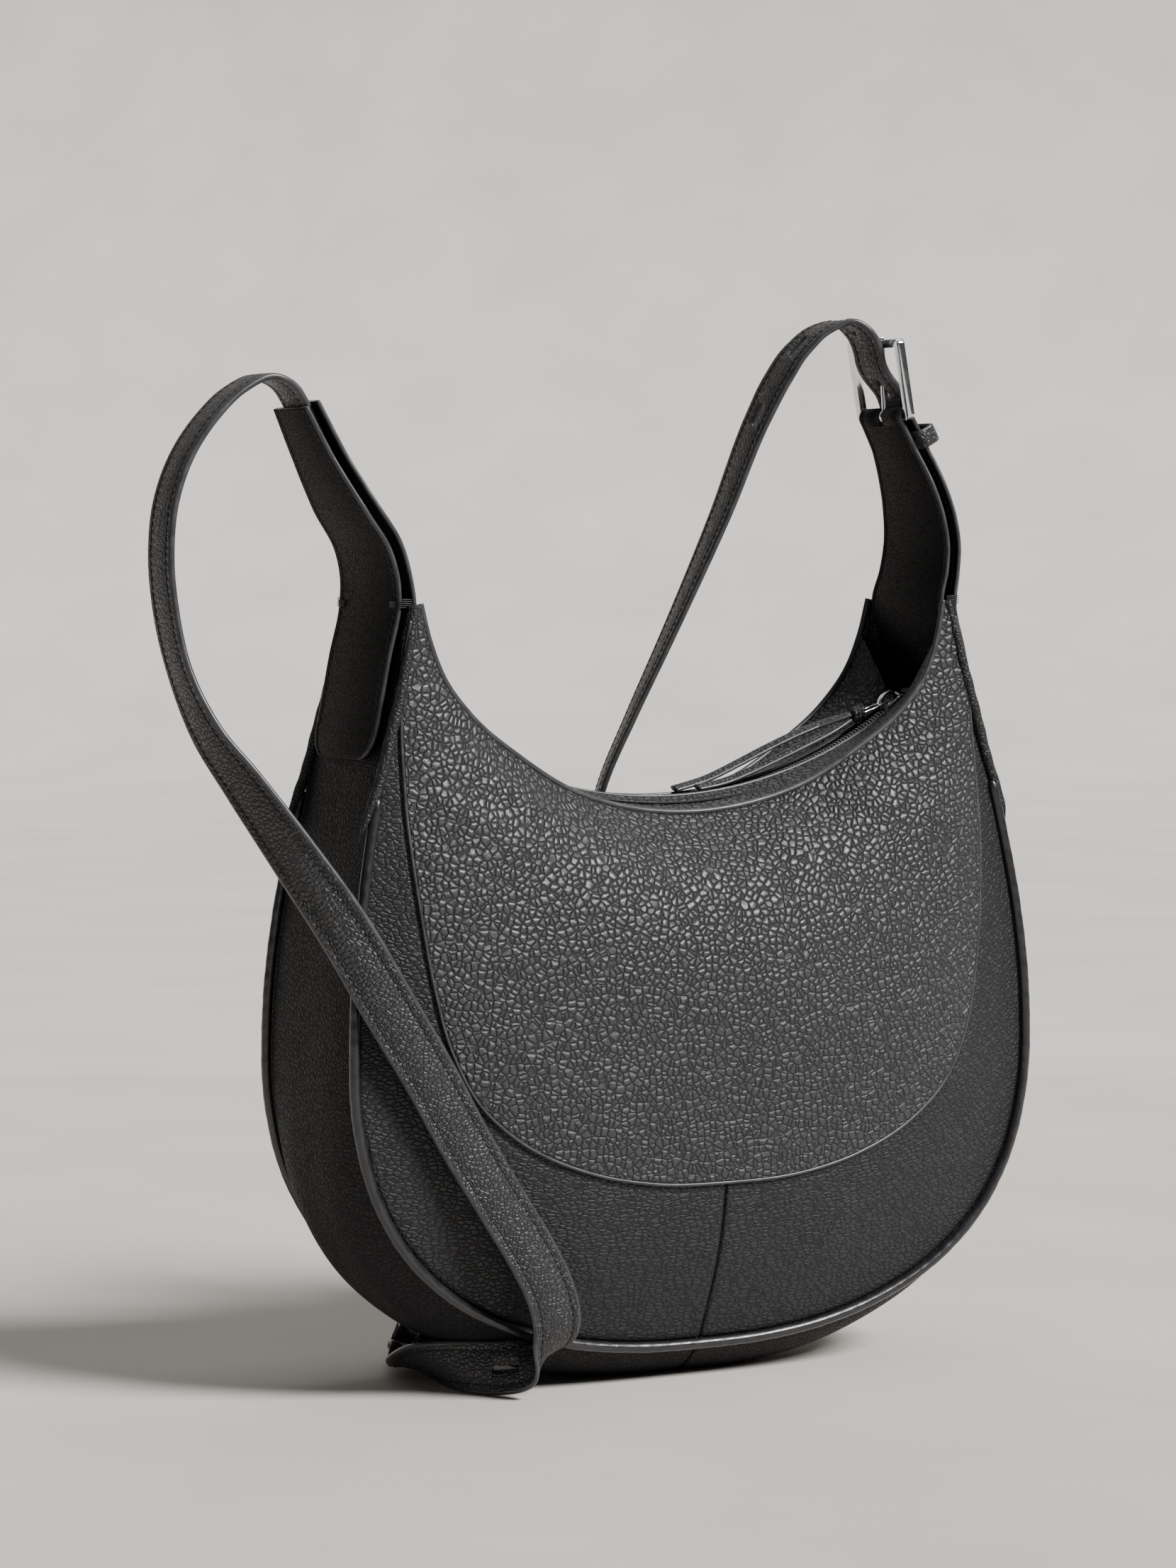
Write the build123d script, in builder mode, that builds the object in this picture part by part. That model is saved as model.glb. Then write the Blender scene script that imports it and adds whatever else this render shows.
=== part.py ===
from build123d import *
import os
from math import cos, hypot, radians, sin

# Hobo bag, in millimetres. +Z is up, +X is the bag's right side, -Y its front.
# The origin is the middle of the pressed flat on the underside, where the bag stands.

# Driving dimensions
HALF_DEPTH = 40.0  # mid plane to the piping of the front and back panels
HALF_CROWN = 15.0  # half the flat middle strip of the gusset
BULGE = 22.0  # how far each panel swells past its piping
BULGE_Z = 120.0  # height of the fullest point
HALF_SPAN = 158.0  # half the body's width at the piping
WALL = 2.0  # leather with its backing
SEAM = 5.0  # turned edge along the outer seams
GAP = 0.3  # clearance between pieces that move or touch
LINING = 0.7
TIP_Z = 318.0  # height of the two shoulder points
MOUTH_HALF = 32.0  # half depth of the bag at its mouth

# Body outline, right half, from the bottom centre to the shoulder point (x, z)
GUSSET_EDGE = [(0, -0.8), (30, -0.2), (62, 4), (92, 14), (118, 28), (140, 48), (155, 76), (160.5, 112),
               (160, 150), (156, 190), (150.5, 220), (144, 250), (137, 282), (129.5, TIP_Z)]
PIPING_EDGE = [(0, 15.5), (32, 16.5), (60, 20.5), (88, 29), (113, 42), (135, 62), (149, 86), (156.5, 115),
               (157.5, 150), (154, 190), (149, 220), (142.5, 250), (135.5, 282), (128.5, TIP_Z)]
RIM = [(0, 232), (28, 234.6), (54, 242), (80, 256.5), (102, 273), (114, 288), (120, 303), (123.5, TIP_Z)]
# Side profile, half depth against height
SIDE = [(40, 14), (50, 36), (58.5, 70), (62, 110), (60, 150), (52, 190), (41, 215), (MOUTH_HALF, 236)]

# Seam between a centre panel and its band, right half
PANEL_SEAM = [(0, 84), (34, 85.5), (64, 92), (92, 105), (110, 121), (121, 142), (127.5, 168), (131.5, 196),
              (134, 224), (135.5, 252), (136, 282)]
EDGING_HEIGHT = 0.8
PIPING_RADIUS = 2.2
PIPING_POINTS = 11  # the piping follows its edge up to where the shoulders are pinched

# Zip: one circular arc seen from the front
ZIP_CENTRE_Z = 441.0
ZIP_RADIUS = 205.0
ZIP_HALF_ANGLE = 37.0
SLIDER_ANGLE = 35.0  # the slider rests at the right end, with the zip closed
TOOTH_HEIGHT = 2.4
TOOTH_NEAR = 0.7
TOOTH_FAR = 3.2
TAPE_THICK = 0.6
TAPE_FAR = 14.0
FACING_THICK = 1.6
FACING_NEAR = 5.5
FACING_FAR = 29.5
STOP_HEIGHT = 3.4
PLATE = 1.4  # slider plates
SLIDER_HALF_ANGLE = 1.4
SLIDER_HALF_WIDTH = 4.2
BRIDGE_LENGTH = 6.0  # half length of the arch over the slider
BRIDGE_HEIGHT = 4.2
BRIDGE_WALL = 1.3
BRIDGE_HALF_WIDTH = 1.5

# Puller
WIRE = 0.6  # radius of the link's wire
LINK_LENGTH = 13.0
LINK_HALF_WIDTH = 3.3
PULL_TILT = radians(18)
KNOT_RADIUS = 3.8
KNOT_HALF_WIDTH = 1.9
STRAND_THICK = 1.5
STRAND_WIDTH = 5.0
PIN_FIT = 0.05

# Inside
LINING_TOP = 226.0
BOARD_LENGTH = 100.0
BOARD_WIDTH = 27.0
BOARD_THICK = 1.8
BOARD_Z = 6.8
POCKET_WIDTH = 120.0
POCKET_HEIGHT = 80.0
POCKET_THICK = 1.0
POCKET_Y = 49.5
POCKET_Z = 125.0

# Tabs, strap and buckle
STRAP_WIDTH = 22.0
STRAP_THICK = 2.6
PLY = 1.8  # thickness of each tab ply
PLY_NEAR = 1.9  # middle of a tab to the inner face of each ply
FOLD_FULLNESS = 0.15  # how far the fold round the heel bar stands out past the plies
TACK = 0.8  # thickness of the thread bar tacks
BAR_RADIUS = 1.6
BUCKLE_LEAN = radians(10)
BUCKLE_HEIGHT = 31.0  # heel bar to top bar, centre to centre
BUCKLE_WIDTH = 40.0
BUCKLE_BAR = 3.4
BUCKLE_DEPTH = 3.2
PRONG_RADIUS = 1.2
HOLE_LENGTH = 11.0
HOLE_WIDTH = 3.4
HEEL = (113.5, 396.0)  # heel bar centre (x, z)
HOLE_STATIONS = (26, 49, 51, 53, 58)  # stations of the strap that carry a slot
STRAP_RUNS = (0, 20, 66)  # stations where lofts join
KEEPER_LINE = [(121.0, 382), (117.2, 389)]
KEEPER_WALL = 1.6
KEEPER_HALF_WIDTH = 18.0

os.makedirs("parts", exist_ok=True)


def mirrored(half):
    """The whole curve from left to right, from its right half."""
    left = [(-x, z) for x, z in reversed(half) if x > 0]
    return left + list(half)


def shifted(points, distance):
    """The points moved to the left of their direction of travel by distance."""
    moved = []
    last = len(points) - 1
    for i, (x, z) in enumerate(points):
        x0, z0 = points[max(i - 1, 0)]
        x1, z1 = points[min(i + 1, last)]
        run = hypot(x1 - x0, z1 - z0)
        moved.append((x - distance * (z1 - z0) / run, z + distance * (x1 - x0) / run))
    return moved


def outline(plane, edge, inset=0.0, top=None):
    """The body seen from the front: closed by the rim, or by a straight line at the height top."""
    outer = shifted(mirrored(edge), inset)
    with BuildSketch(plane) as face:
        with BuildLine():
            Spline(*outer)
            if top is None:
                rim = mirrored(RIM)
                Line(outer[-1], rim[-1])
                Spline(*reversed(rim))
                Line(rim[0], outer[0])
            else:
                Polyline(outer[-1], (outer[-1][0], top), (outer[0][0], top), outer[0])
        make_face()
    return face.sketch


def side_profile(inset=0.0, bottom=-5.0, top=TIP_Z + 20):
    """The body seen from its side, symmetric in Y."""
    front = [(-y + inset, z) for y, z in SIDE]
    back = [(y - inset, z) for y, z in SIDE]
    with BuildSketch(Plane.YZ) as face:
        with BuildLine():
            Spline(*front)
            Spline(*back)
            Polyline(front[0], (front[0][0], bottom), (back[0][0], bottom), back[0])
            Polyline(front[-1], (front[-1][0], top), (back[-1][0], top), back[-1])
        make_face()
    return face.sketch


def form(inset, top=None):
    """The body as a full solid, inset from its outer surface."""
    depth = HALF_DEPTH - inset
    reach = HALF_DEPTH + BULGE + 10
    radius = (HALF_SPAN**2 + BULGE**2) / (2 * BULGE)
    centre = radius - HALF_DEPTH - BULGE
    with BuildPart() as swell:
        for side in (1, -1):
            far = outline(Plane.XZ.offset(side * depth), PIPING_EDGE, inset, top)
            extrude(far, side * (reach - depth), dir=(0, -1, 0))
        for side in (1, -1):
            with Locations((0, side * centre, BULGE_Z)):
                Sphere(radius - inset, mode=Mode.INTERSECT)
    with BuildPart() as body:
        extrude(outline(Plane.XZ, GUSSET_EDGE, inset, top), HALF_CROWN, both=True)
        for side in (1, -1):
            near = outline(Plane.XZ.offset(side * HALF_CROWN), GUSSET_EDGE, inset, top)
            far = outline(Plane.XZ.offset(side * depth), PIPING_EDGE, inset, top)
            loft([near, far], ruled=True)
        add(swell.part)
        extrude(side_profile(inset), 2 * HALF_SPAN, both=True, mode=Mode.INTERSECT)
    return body.part


def arc_band(inner, outer, half_angle, middle=0.0):
    """A ring sector about the zip's centre, drawn on the front plane."""
    first = -90 + middle - half_angle
    with BuildSketch(Plane.XZ) as face:
        with BuildLine():
            low = CenterArc((0, ZIP_CENTRE_Z), outer, first, 2 * half_angle)
            high = CenterArc((0, ZIP_CENTRE_Z), inner, first, 2 * half_angle)
            Line(low @ 0, high @ 0)
            Line(low @ 1, high @ 1)
        make_face()
    return face.sketch


def ring_band(points, low, high):
    """A strip of even thickness along a curve seen from the front, between two shifts of it."""
    near = shifted(points, low)
    far = shifted(points, high)
    with BuildSketch(Plane.XZ) as face:
        with BuildLine():
            Spline(*near)
            Spline(*far)
            Line(near[0], far[0])
            Line(near[-1], far[-1])
        make_face()
    return face.sketch


def write(piece, label):
    """Name a finished piece and write it under its name."""
    piece.part.label = label
    export_step(piece.part, f"parts/{label}.step")


# Body: an open-topped skin, cut along its seams
outer_form = form(0.0)
inner_form = form(WALL, TIP_Z + 15)
with BuildPart() as shell:
    add(outer_form)
    # the flat the bag stands on
    split(bisect_by=Plane.XY, keep=Keep.TOP)
    add(inner_form, mode=Mode.SUBTRACT)

pipings = {}
for side_name, side in (("front", 1), ("back", -1)):
    with BuildPart() as piping:
        with BuildSketch(Plane.XZ.offset(side * HALF_DEPTH)):
            add(ring_band(mirrored(PIPING_EDGE[:PIPING_POINTS]), -PIPING_RADIUS, PIPING_RADIUS))
        extrude(amount=PIPING_RADIUS, both=True)
    pipings[side_name] = piping.part
    write(piping, f"{side_name}_piping")

skins = {}
for side_name, side in (("front", 1), ("back", -1)):
    with BuildPart() as skin:
        near = Plane.XZ.offset(side * HALF_CROWN)
        extrude(outline(near, PIPING_EDGE, SEAM, TIP_Z + 10), side * (HALF_DEPTH + BULGE), dir=(0, -1, 0))
    skins[side_name] = skin.part

with BuildPart() as gusset:
    add(shell.part)
    add(skins["front"], mode=Mode.SUBTRACT)
    add(skins["back"], mode=Mode.SUBTRACT)
    add(pipings["front"], mode=Mode.SUBTRACT)
    add(pipings["back"], mode=Mode.SUBTRACT)
for label, keep in (("gusset_left", Keep.BOTTOM), ("gusset_right", Keep.TOP)):
    with BuildPart() as half_gusset:
        add(gusset.part)
        split(bisect_by=Plane.YZ, keep=keep)
    write(half_gusset, label)

with BuildPart() as raised_form:
    add(form(-EDGING_HEIGHT))
    add(outer_form, mode=Mode.SUBTRACT)
for side_name, side in (("front", 1), ("back", -1)):
    with BuildSketch(Plane.XZ) as centre_area:
        with BuildLine():
            seam = Spline(*mirrored(PANEL_SEAM))
            Polyline(seam @ 1, ((seam @ 1).X, TIP_Z + 15), ((seam @ 0).X, TIP_Z + 15), seam @ 0)
        make_face()
    with BuildPart() as centre_prism:
        extrude(centre_area.sketch, side * (HALF_DEPTH + BULGE + 10), dir=(0, -1, 0))
    with BuildPart() as centre:
        add(shell.part)
        add(skins[side_name], mode=Mode.INTERSECT)
        add(centre_prism.part, mode=Mode.INTERSECT)
    write(centre, f"{side_name}_centre_panel")
    with BuildPart() as band:
        add(shell.part)
        add(skins[side_name], mode=Mode.INTERSECT)
        add(centre_prism.part, mode=Mode.SUBTRACT)
    for hand, keep in (("left", Keep.BOTTOM), ("right", Keep.TOP)):
        with BuildPart() as half_band:
            add(band.part)
            split(bisect_by=Plane.YZ, keep=keep)
        write(half_band, f"{side_name}_band_{hand}")
    with BuildPart() as edging:
        extrude(ring_band(mirrored(PANEL_SEAM), -EDGING_HEIGHT, EDGING_HEIGHT),
                side * (HALF_DEPTH + BULGE + 10), dir=(0, -1, 0))
        add(raised_form.part, mode=Mode.INTERSECT)
        add(skins[side_name], mode=Mode.INTERSECT)
    write(edging, f"{side_name}_panel_edging")
    with BuildPart() as binding:
        extrude(ring_band(mirrored(RIM), 0.1, 1.7), MOUTH_HALF + 1, dir=(0, -side, 0))
        with BuildSketch(Plane.XZ):
            add(ring_band(mirrored(RIM), -1, 3))
        extrude(amount=side * (MOUTH_HALF - WALL - 0.2), mode=Mode.SUBTRACT)
    write(binding, f"{side_name}_rim_binding")


# Inside: a hanging lining, a base board and a patch pocket
with BuildPart() as lining:
    add(form(WALL + 0.2, TIP_Z + 15))
    add(form(WALL + 0.2 + LINING, TIP_Z + 16), mode=Mode.SUBTRACT)
    split(bisect_by=Plane.XY.offset(LINING_TOP), keep=Keep.BOTTOM)
write(lining, "lining")

with BuildPart() as base_board:
    with BuildSketch(Plane.XY.offset(BOARD_Z)):
        RectangleRounded(BOARD_LENGTH, BOARD_WIDTH, 6)
    extrude(amount=BOARD_THICK)
write(base_board, "base_board")

with BuildPart() as inner_pocket:
    with BuildSketch(Plane.XZ.offset(-POCKET_Y)):
        with Locations((0, POCKET_Z)):
            RectangleRounded(POCKET_WIDTH, POCKET_HEIGHT, 8)
    extrude(amount=POCKET_THICK)
write(inner_pocket, "inner_pocket")

# Zip: facings, tapes, two rows of teeth and the stops, all on one arc
facing_top = ZIP_RADIUS - TAPE_THICK / 2 - 0.05
tape_near = TOOTH_FAR + 0.05
for side_name, side in (("front", 1), ("back", -1)):
    with BuildPart() as facing:
        with BuildSketch(Plane.XZ.offset(side * FACING_NEAR)):
            add(arc_band(facing_top - FACING_THICK, facing_top, ZIP_HALF_ANGLE))
        extrude(amount=side * (FACING_FAR - FACING_NEAR))
    write(facing, f"{side_name}_zip_facing")
    with BuildPart() as tape:
        with BuildSketch(Plane.XZ.offset(side * tape_near)):
            add(arc_band(ZIP_RADIUS - TAPE_THICK / 2, ZIP_RADIUS + TAPE_THICK / 2, ZIP_HALF_ANGLE))
        extrude(amount=side * (TAPE_FAR - tape_near))
    write(tape, f"{side_name}_zip_tape")
    with BuildPart() as teeth:
        with BuildSketch(Plane.XZ.offset(side * TOOTH_NEAR)):
            add(arc_band(ZIP_RADIUS - TOOTH_HEIGHT / 2, ZIP_RADIUS + TOOTH_HEIGHT / 2, ZIP_HALF_ANGLE))
        extrude(amount=side * (TOOTH_FAR - TOOTH_NEAR))
    write(teeth, f"{side_name}_zip_teeth")
for label, end in (("zip_top_stop", 1), ("zip_bottom_stop", -1)):
    with BuildPart() as stop:
        with BuildSketch(Plane.XZ):
            place = end * (ZIP_HALF_ANGLE + 0.5)
            add(arc_band(ZIP_RADIUS - STOP_HEIGHT / 2, ZIP_RADIUS + STOP_HEIGHT / 2, 0.4, place))
        extrude(amount=TOOTH_FAR, both=True)
    write(stop, label)

# Slider: two plates on the zip's arc, the wedge between the rows of teeth and a bridge on top
slide = radians(SLIDER_ANGLE)
slider_plane = Plane(
    origin=(ZIP_RADIUS * sin(slide), 0, ZIP_CENTRE_Z - ZIP_RADIUS * cos(slide)),
    x_dir=(-cos(slide), 0, -sin(slide)),
    z_dir=(0, 1, 0),
)
plate_near = TOOTH_HEIGHT / 2 + GAP
plate_top = plate_near + PLATE
with BuildPart() as zip_slider:
    for low, high in ((-plate_top, -plate_near), (plate_near, plate_top)):
        with BuildSketch(Plane.XZ):
            add(arc_band(ZIP_RADIUS + low, ZIP_RADIUS + high, SLIDER_HALF_ANGLE, SLIDER_ANGLE))
        extrude(amount=SLIDER_HALF_WIDTH, both=True)
    with BuildSketch(Plane.XZ):
        add(arc_band(ZIP_RADIUS - plate_top, ZIP_RADIUS + plate_top, SLIDER_HALF_ANGLE / 2, SLIDER_ANGLE))
    extrude(amount=TOOTH_NEAR - GAP, both=True)
    with BuildSketch(slider_plane):
        with Locations((0, plate_top)):
            Ellipse(BRIDGE_LENGTH, BRIDGE_HEIGHT)
            Ellipse(BRIDGE_LENGTH - BRIDGE_WALL, BRIDGE_HEIGHT - BRIDGE_WALL, mode=Mode.SUBTRACT)
        with Locations((0, plate_top - BRIDGE_HEIGHT - 0.6)):
            Rectangle(4 * BRIDGE_LENGTH, 2 * BRIDGE_HEIGHT, mode=Mode.SUBTRACT)
    extrude(amount=BRIDGE_HALF_WIDTH, both=True)
write(zip_slider, "zip_slider")

# Puller: a wire link through the bridge, a leather knot on it and two strands below the knot
link_pivot = slider_plane.from_local_coords(Vector(BRIDGE_LENGTH - 2.4, plate_top + WIRE + GAP, 0))
pull_plane = Plane(origin=link_pivot, x_dir=(-cos(PULL_TILT), 0, -sin(PULL_TILT)), z_dir=(0, 1, 0))
knot_pivot = pull_plane.from_local_coords(Vector(LINK_LENGTH, 0, 0))
with BuildPart() as pull_link:
    for along in (0, LINK_LENGTH):
        with BuildSketch(pull_plane):
            with Locations((along, 0)):
                Circle(WIRE)
        extrude(amount=LINK_HALF_WIDTH, both=True)
    for side in (1, -1):
        start = pull_plane.from_local_coords(Vector(0, 0, side * (LINK_HALF_WIDTH - WIRE)))
        with BuildSketch(Plane(origin=start, z_dir=pull_plane.x_dir)):
            Circle(0.8 * WIRE)
        extrude(amount=LINK_LENGTH)
write(pull_link, "pull_link")

with BuildPart() as pull_knot:
    with BuildSketch(Plane.XZ):
        with Locations((knot_pivot.X, knot_pivot.Z)):
            Circle(KNOT_RADIUS)
            Circle(WIRE + PIN_FIT, mode=Mode.SUBTRACT)
    extrude(amount=KNOT_HALF_WIDTH, both=True)
write(pull_knot, "pull_knot")

# each strand is a flat strip seen edge on from the front, from the knot to its free end
strand_start = knot_pivot + pull_plane.x_dir * (KNOT_RADIUS + 0.2)
upper_route = [(strand_start.X, strand_start.Z + 0.9), (86, 266.5), (71, 261.5), (57, 256), (43, 250),
               (28, 244), (12, 240)]
lower_route = [(strand_start.X, strand_start.Z - 0.9), (85, 262.6), (71, 256.8), (57, 251.2), (44, 246.3),
               (33, 242.8), (20, 240.6)]
for label, route, middle in (("pull_strand_upper", upper_route, 4.5), ("pull_strand_lower", lower_route, -1.0)):
    with BuildPart() as strand:
        with BuildSketch(Plane.XZ.offset(-middle)):
            add(ring_band(route, -STRAND_THICK / 2, STRAND_THICK / 2))
        extrude(amount=STRAND_WIDTH / 2, both=True)
    write(strand, label)

# Tabs: two plies either side of a middle line, seen from the front from the lower end up
LEFT_TAB = [(-141.7, 256), (-138.1, 272), (-133.3, 296), (-128.5, 318), (-128.6, 328), (-132, 341), (-141.5, 356),
            (-153, 376), (-163.5, 397)]
LEFT_INNER = [(-131.9, 300), (-127.5, 318)] + LEFT_TAB[4:]
LEFT_HALF_WIDTH = [(250, 27), (318, 27), (341, 24.8), (356, 23.5), (376, 18.5), (400, 14.7)]
RIGHT_TAB = [(142.4, 253), (138.1, 272), (133.3, 296), (128.5, 318), (130.6, 330), (132, 342), (130.6, 355),
             (127, 368), (121.5, 381), (113.5, 396)]
RIGHT_INNER = [(131.9, 300), (127.5, 318)] + RIGHT_TAB[4:]
RIGHT_HALF_WIDTH = [(250, 27), (320, 27.3), (340, 25.5), (355, 23.4), (368, 20.7), (382, 17), (404, 15.5)]


def tab_shape(half_width, low, corner):
    """A tab seen from the side, with a rounded lower end at the height low."""
    right = [(width, z) for z, width in half_width if z > low + corner]
    with BuildSketch(Plane.YZ) as face:
        with BuildLine():
            points = [(27, low)] + right
            Polyline(*[(-y, z) for y, z in reversed(points)], *points, close=True)
        make_face()
        fillet(face.vertices().group_by(Axis.Y)[0], corner)
    return face.sketch


def ply(middle_line, near, far, half_width, low, corner):
    """One ply of a tab."""
    with BuildPart() as piece:
        extrude(ring_band(middle_line, near, far), 30, both=True)
        extrude(tab_shape(half_width, low, corner), 200, both=True, mode=Mode.INTERSECT)
    return piece.part


with BuildPart() as left_tab_outer:
    add(ply(LEFT_TAB, PLY_NEAR, PLY_NEAR + PLY, LEFT_HALF_WIDTH, 257, 12))
write(left_tab_outer, "left_tab_outer")
with BuildPart() as left_tab_inner:
    add(ply(LEFT_INNER, -PLY_NEAR - PLY, -PLY_NEAR, LEFT_HALF_WIDTH, 306, 8))
write(left_tab_inner, "left_tab_inner")

with BuildPart() as right_tab:
    add(ply(RIGHT_TAB, -PLY_NEAR - PLY, -PLY_NEAR, RIGHT_HALF_WIDTH, 254, 12))
    add(ply(RIGHT_INNER, PLY_NEAR, PLY_NEAR + PLY, RIGHT_HALF_WIDTH, 308, 8))
    with BuildSketch(Plane.XZ):
        with Locations(HEEL):
            Circle(PLY_NEAR + PLY + FOLD_FULLNESS)
    extrude(amount=RIGHT_HALF_WIDTH[-1][1], both=True)
    with BuildSketch(Plane.XZ):
        with Locations(HEEL):
            Circle(BAR_RADIUS + PIN_FIT)
    extrude(amount=30, both=True, mode=Mode.SUBTRACT)
    # the space between the plies runs on into the fold
    with BuildSketch(Plane.XZ):
        add(ring_band(RIGHT_TAB[6:], -PLY_NEAR + PIN_FIT, PLY_NEAR - PIN_FIT))
    extrude(amount=30, both=True, mode=Mode.SUBTRACT)
    # slot in the fold for the prong
    with BuildSketch(Plane.XZ):
        with Locations(HEEL):
            Circle(PLY_NEAR + PLY + 4 * FOLD_FULLNESS)
    extrude(amount=PRONG_RADIUS + 0.8, both=True, mode=Mode.SUBTRACT)
write(right_tab, "right_tab")

# Thread bar tacks through the tabs at the shoulder points
with BuildPart() as bar_tacks:
    for side in (1, -1):
        for y in (-23, 23):
            with BuildSketch(Plane.YZ.offset(side * (128.5 + PLY_NEAR + PLY + 0.15))):
                with Locations((y, TIP_Z)):
                    RectangleRounded(7, 2, 0.9)
            extrude(amount=side * TACK)
write(bar_tacks, "bar_tacks")

# Buckle: a rectangular frame leaning inward from its heel bar
buckle_plane = Plane(
    origin=(HEEL[0], 0, HEEL[1]),
    x_dir=(0, 1, 0),
    z_dir=(cos(BUCKLE_LEAN), 0, sin(BUCKLE_LEAN)),
)
with BuildPart() as heel_bar:
    with BuildSketch(Plane.XZ):
        with Locations(HEEL):
            Circle(BAR_RADIUS)
    extrude(amount=BUCKLE_WIDTH / 2 - 0.4, both=True)
write(heel_bar, "buckle_heel_bar")
with BuildPart() as frame:
    with BuildSketch(buckle_plane):
        with Locations((0, BUCKLE_HEIGHT / 2)):
            RectangleRounded(BUCKLE_WIDTH, BUCKLE_HEIGHT + BUCKLE_BAR, 2.4)
            Rectangle(BUCKLE_WIDTH - 2 * BUCKLE_BAR, BUCKLE_HEIGHT - BUCKLE_BAR, mode=Mode.SUBTRACT)
    extrude(amount=BUCKLE_DEPTH / 2, both=True)
    with BuildSketch(buckle_plane):
        Rectangle(BUCKLE_WIDTH - 2 * BUCKLE_BAR, 2 * BUCKLE_BAR)
    extrude(amount=BUCKLE_DEPTH, both=True, mode=Mode.SUBTRACT)
    with BuildSketch(Plane.XZ):
        with Locations(HEEL):
            Circle(BAR_RADIUS)
    extrude(amount=BUCKLE_WIDTH / 2 - 0.4, both=True, mode=Mode.SUBTRACT)
write(frame, "buckle_frame")
prong_rest = 1.1 * (BUCKLE_DEPTH / 2 + PRONG_RADIUS + GAP)
prong_tip = BUCKLE_HEIGHT + 2.5
with BuildPart() as prong:
    with BuildSketch(Plane(origin=buckle_plane.origin, x_dir=buckle_plane.y_dir, z_dir=(0, 1, 0))):
        Circle(BAR_RADIUS + PIN_FIT + 1.4)
        with BuildLine():
            Polyline((0, PRONG_RADIUS), (prong_tip, prong_rest + PRONG_RADIUS * 0.6),
                     (prong_tip, prong_rest - PRONG_RADIUS), (0, -PRONG_RADIUS), close=True)
        make_face()
        Circle(BAR_RADIUS + PIN_FIT, mode=Mode.SUBTRACT)
    extrude(amount=PRONG_RADIUS, both=True)
write(prong, "buckle_prong")

# Strap: its middle line from the left tab round to its tail outside the right tab. Each station
# is a point and the direction of the strap's width there.


def by_buckle(up, out):
    """A point in the buckle's middle plane, up from the heel bar and out from the frame."""
    point = buckle_plane.from_local_coords(Vector(0, up, out))
    return (point.X, point.Y, point.Z)


def outside_tab(index):
    """A point of the strap's tail, lying on the outer ply of the right tab."""
    out = PLY_NEAR + PLY + 3 * GAP + STRAP_THICK / 2
    x, z = shifted(RIGHT_TAB, -out)[index]
    return (x, 0, z)


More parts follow.
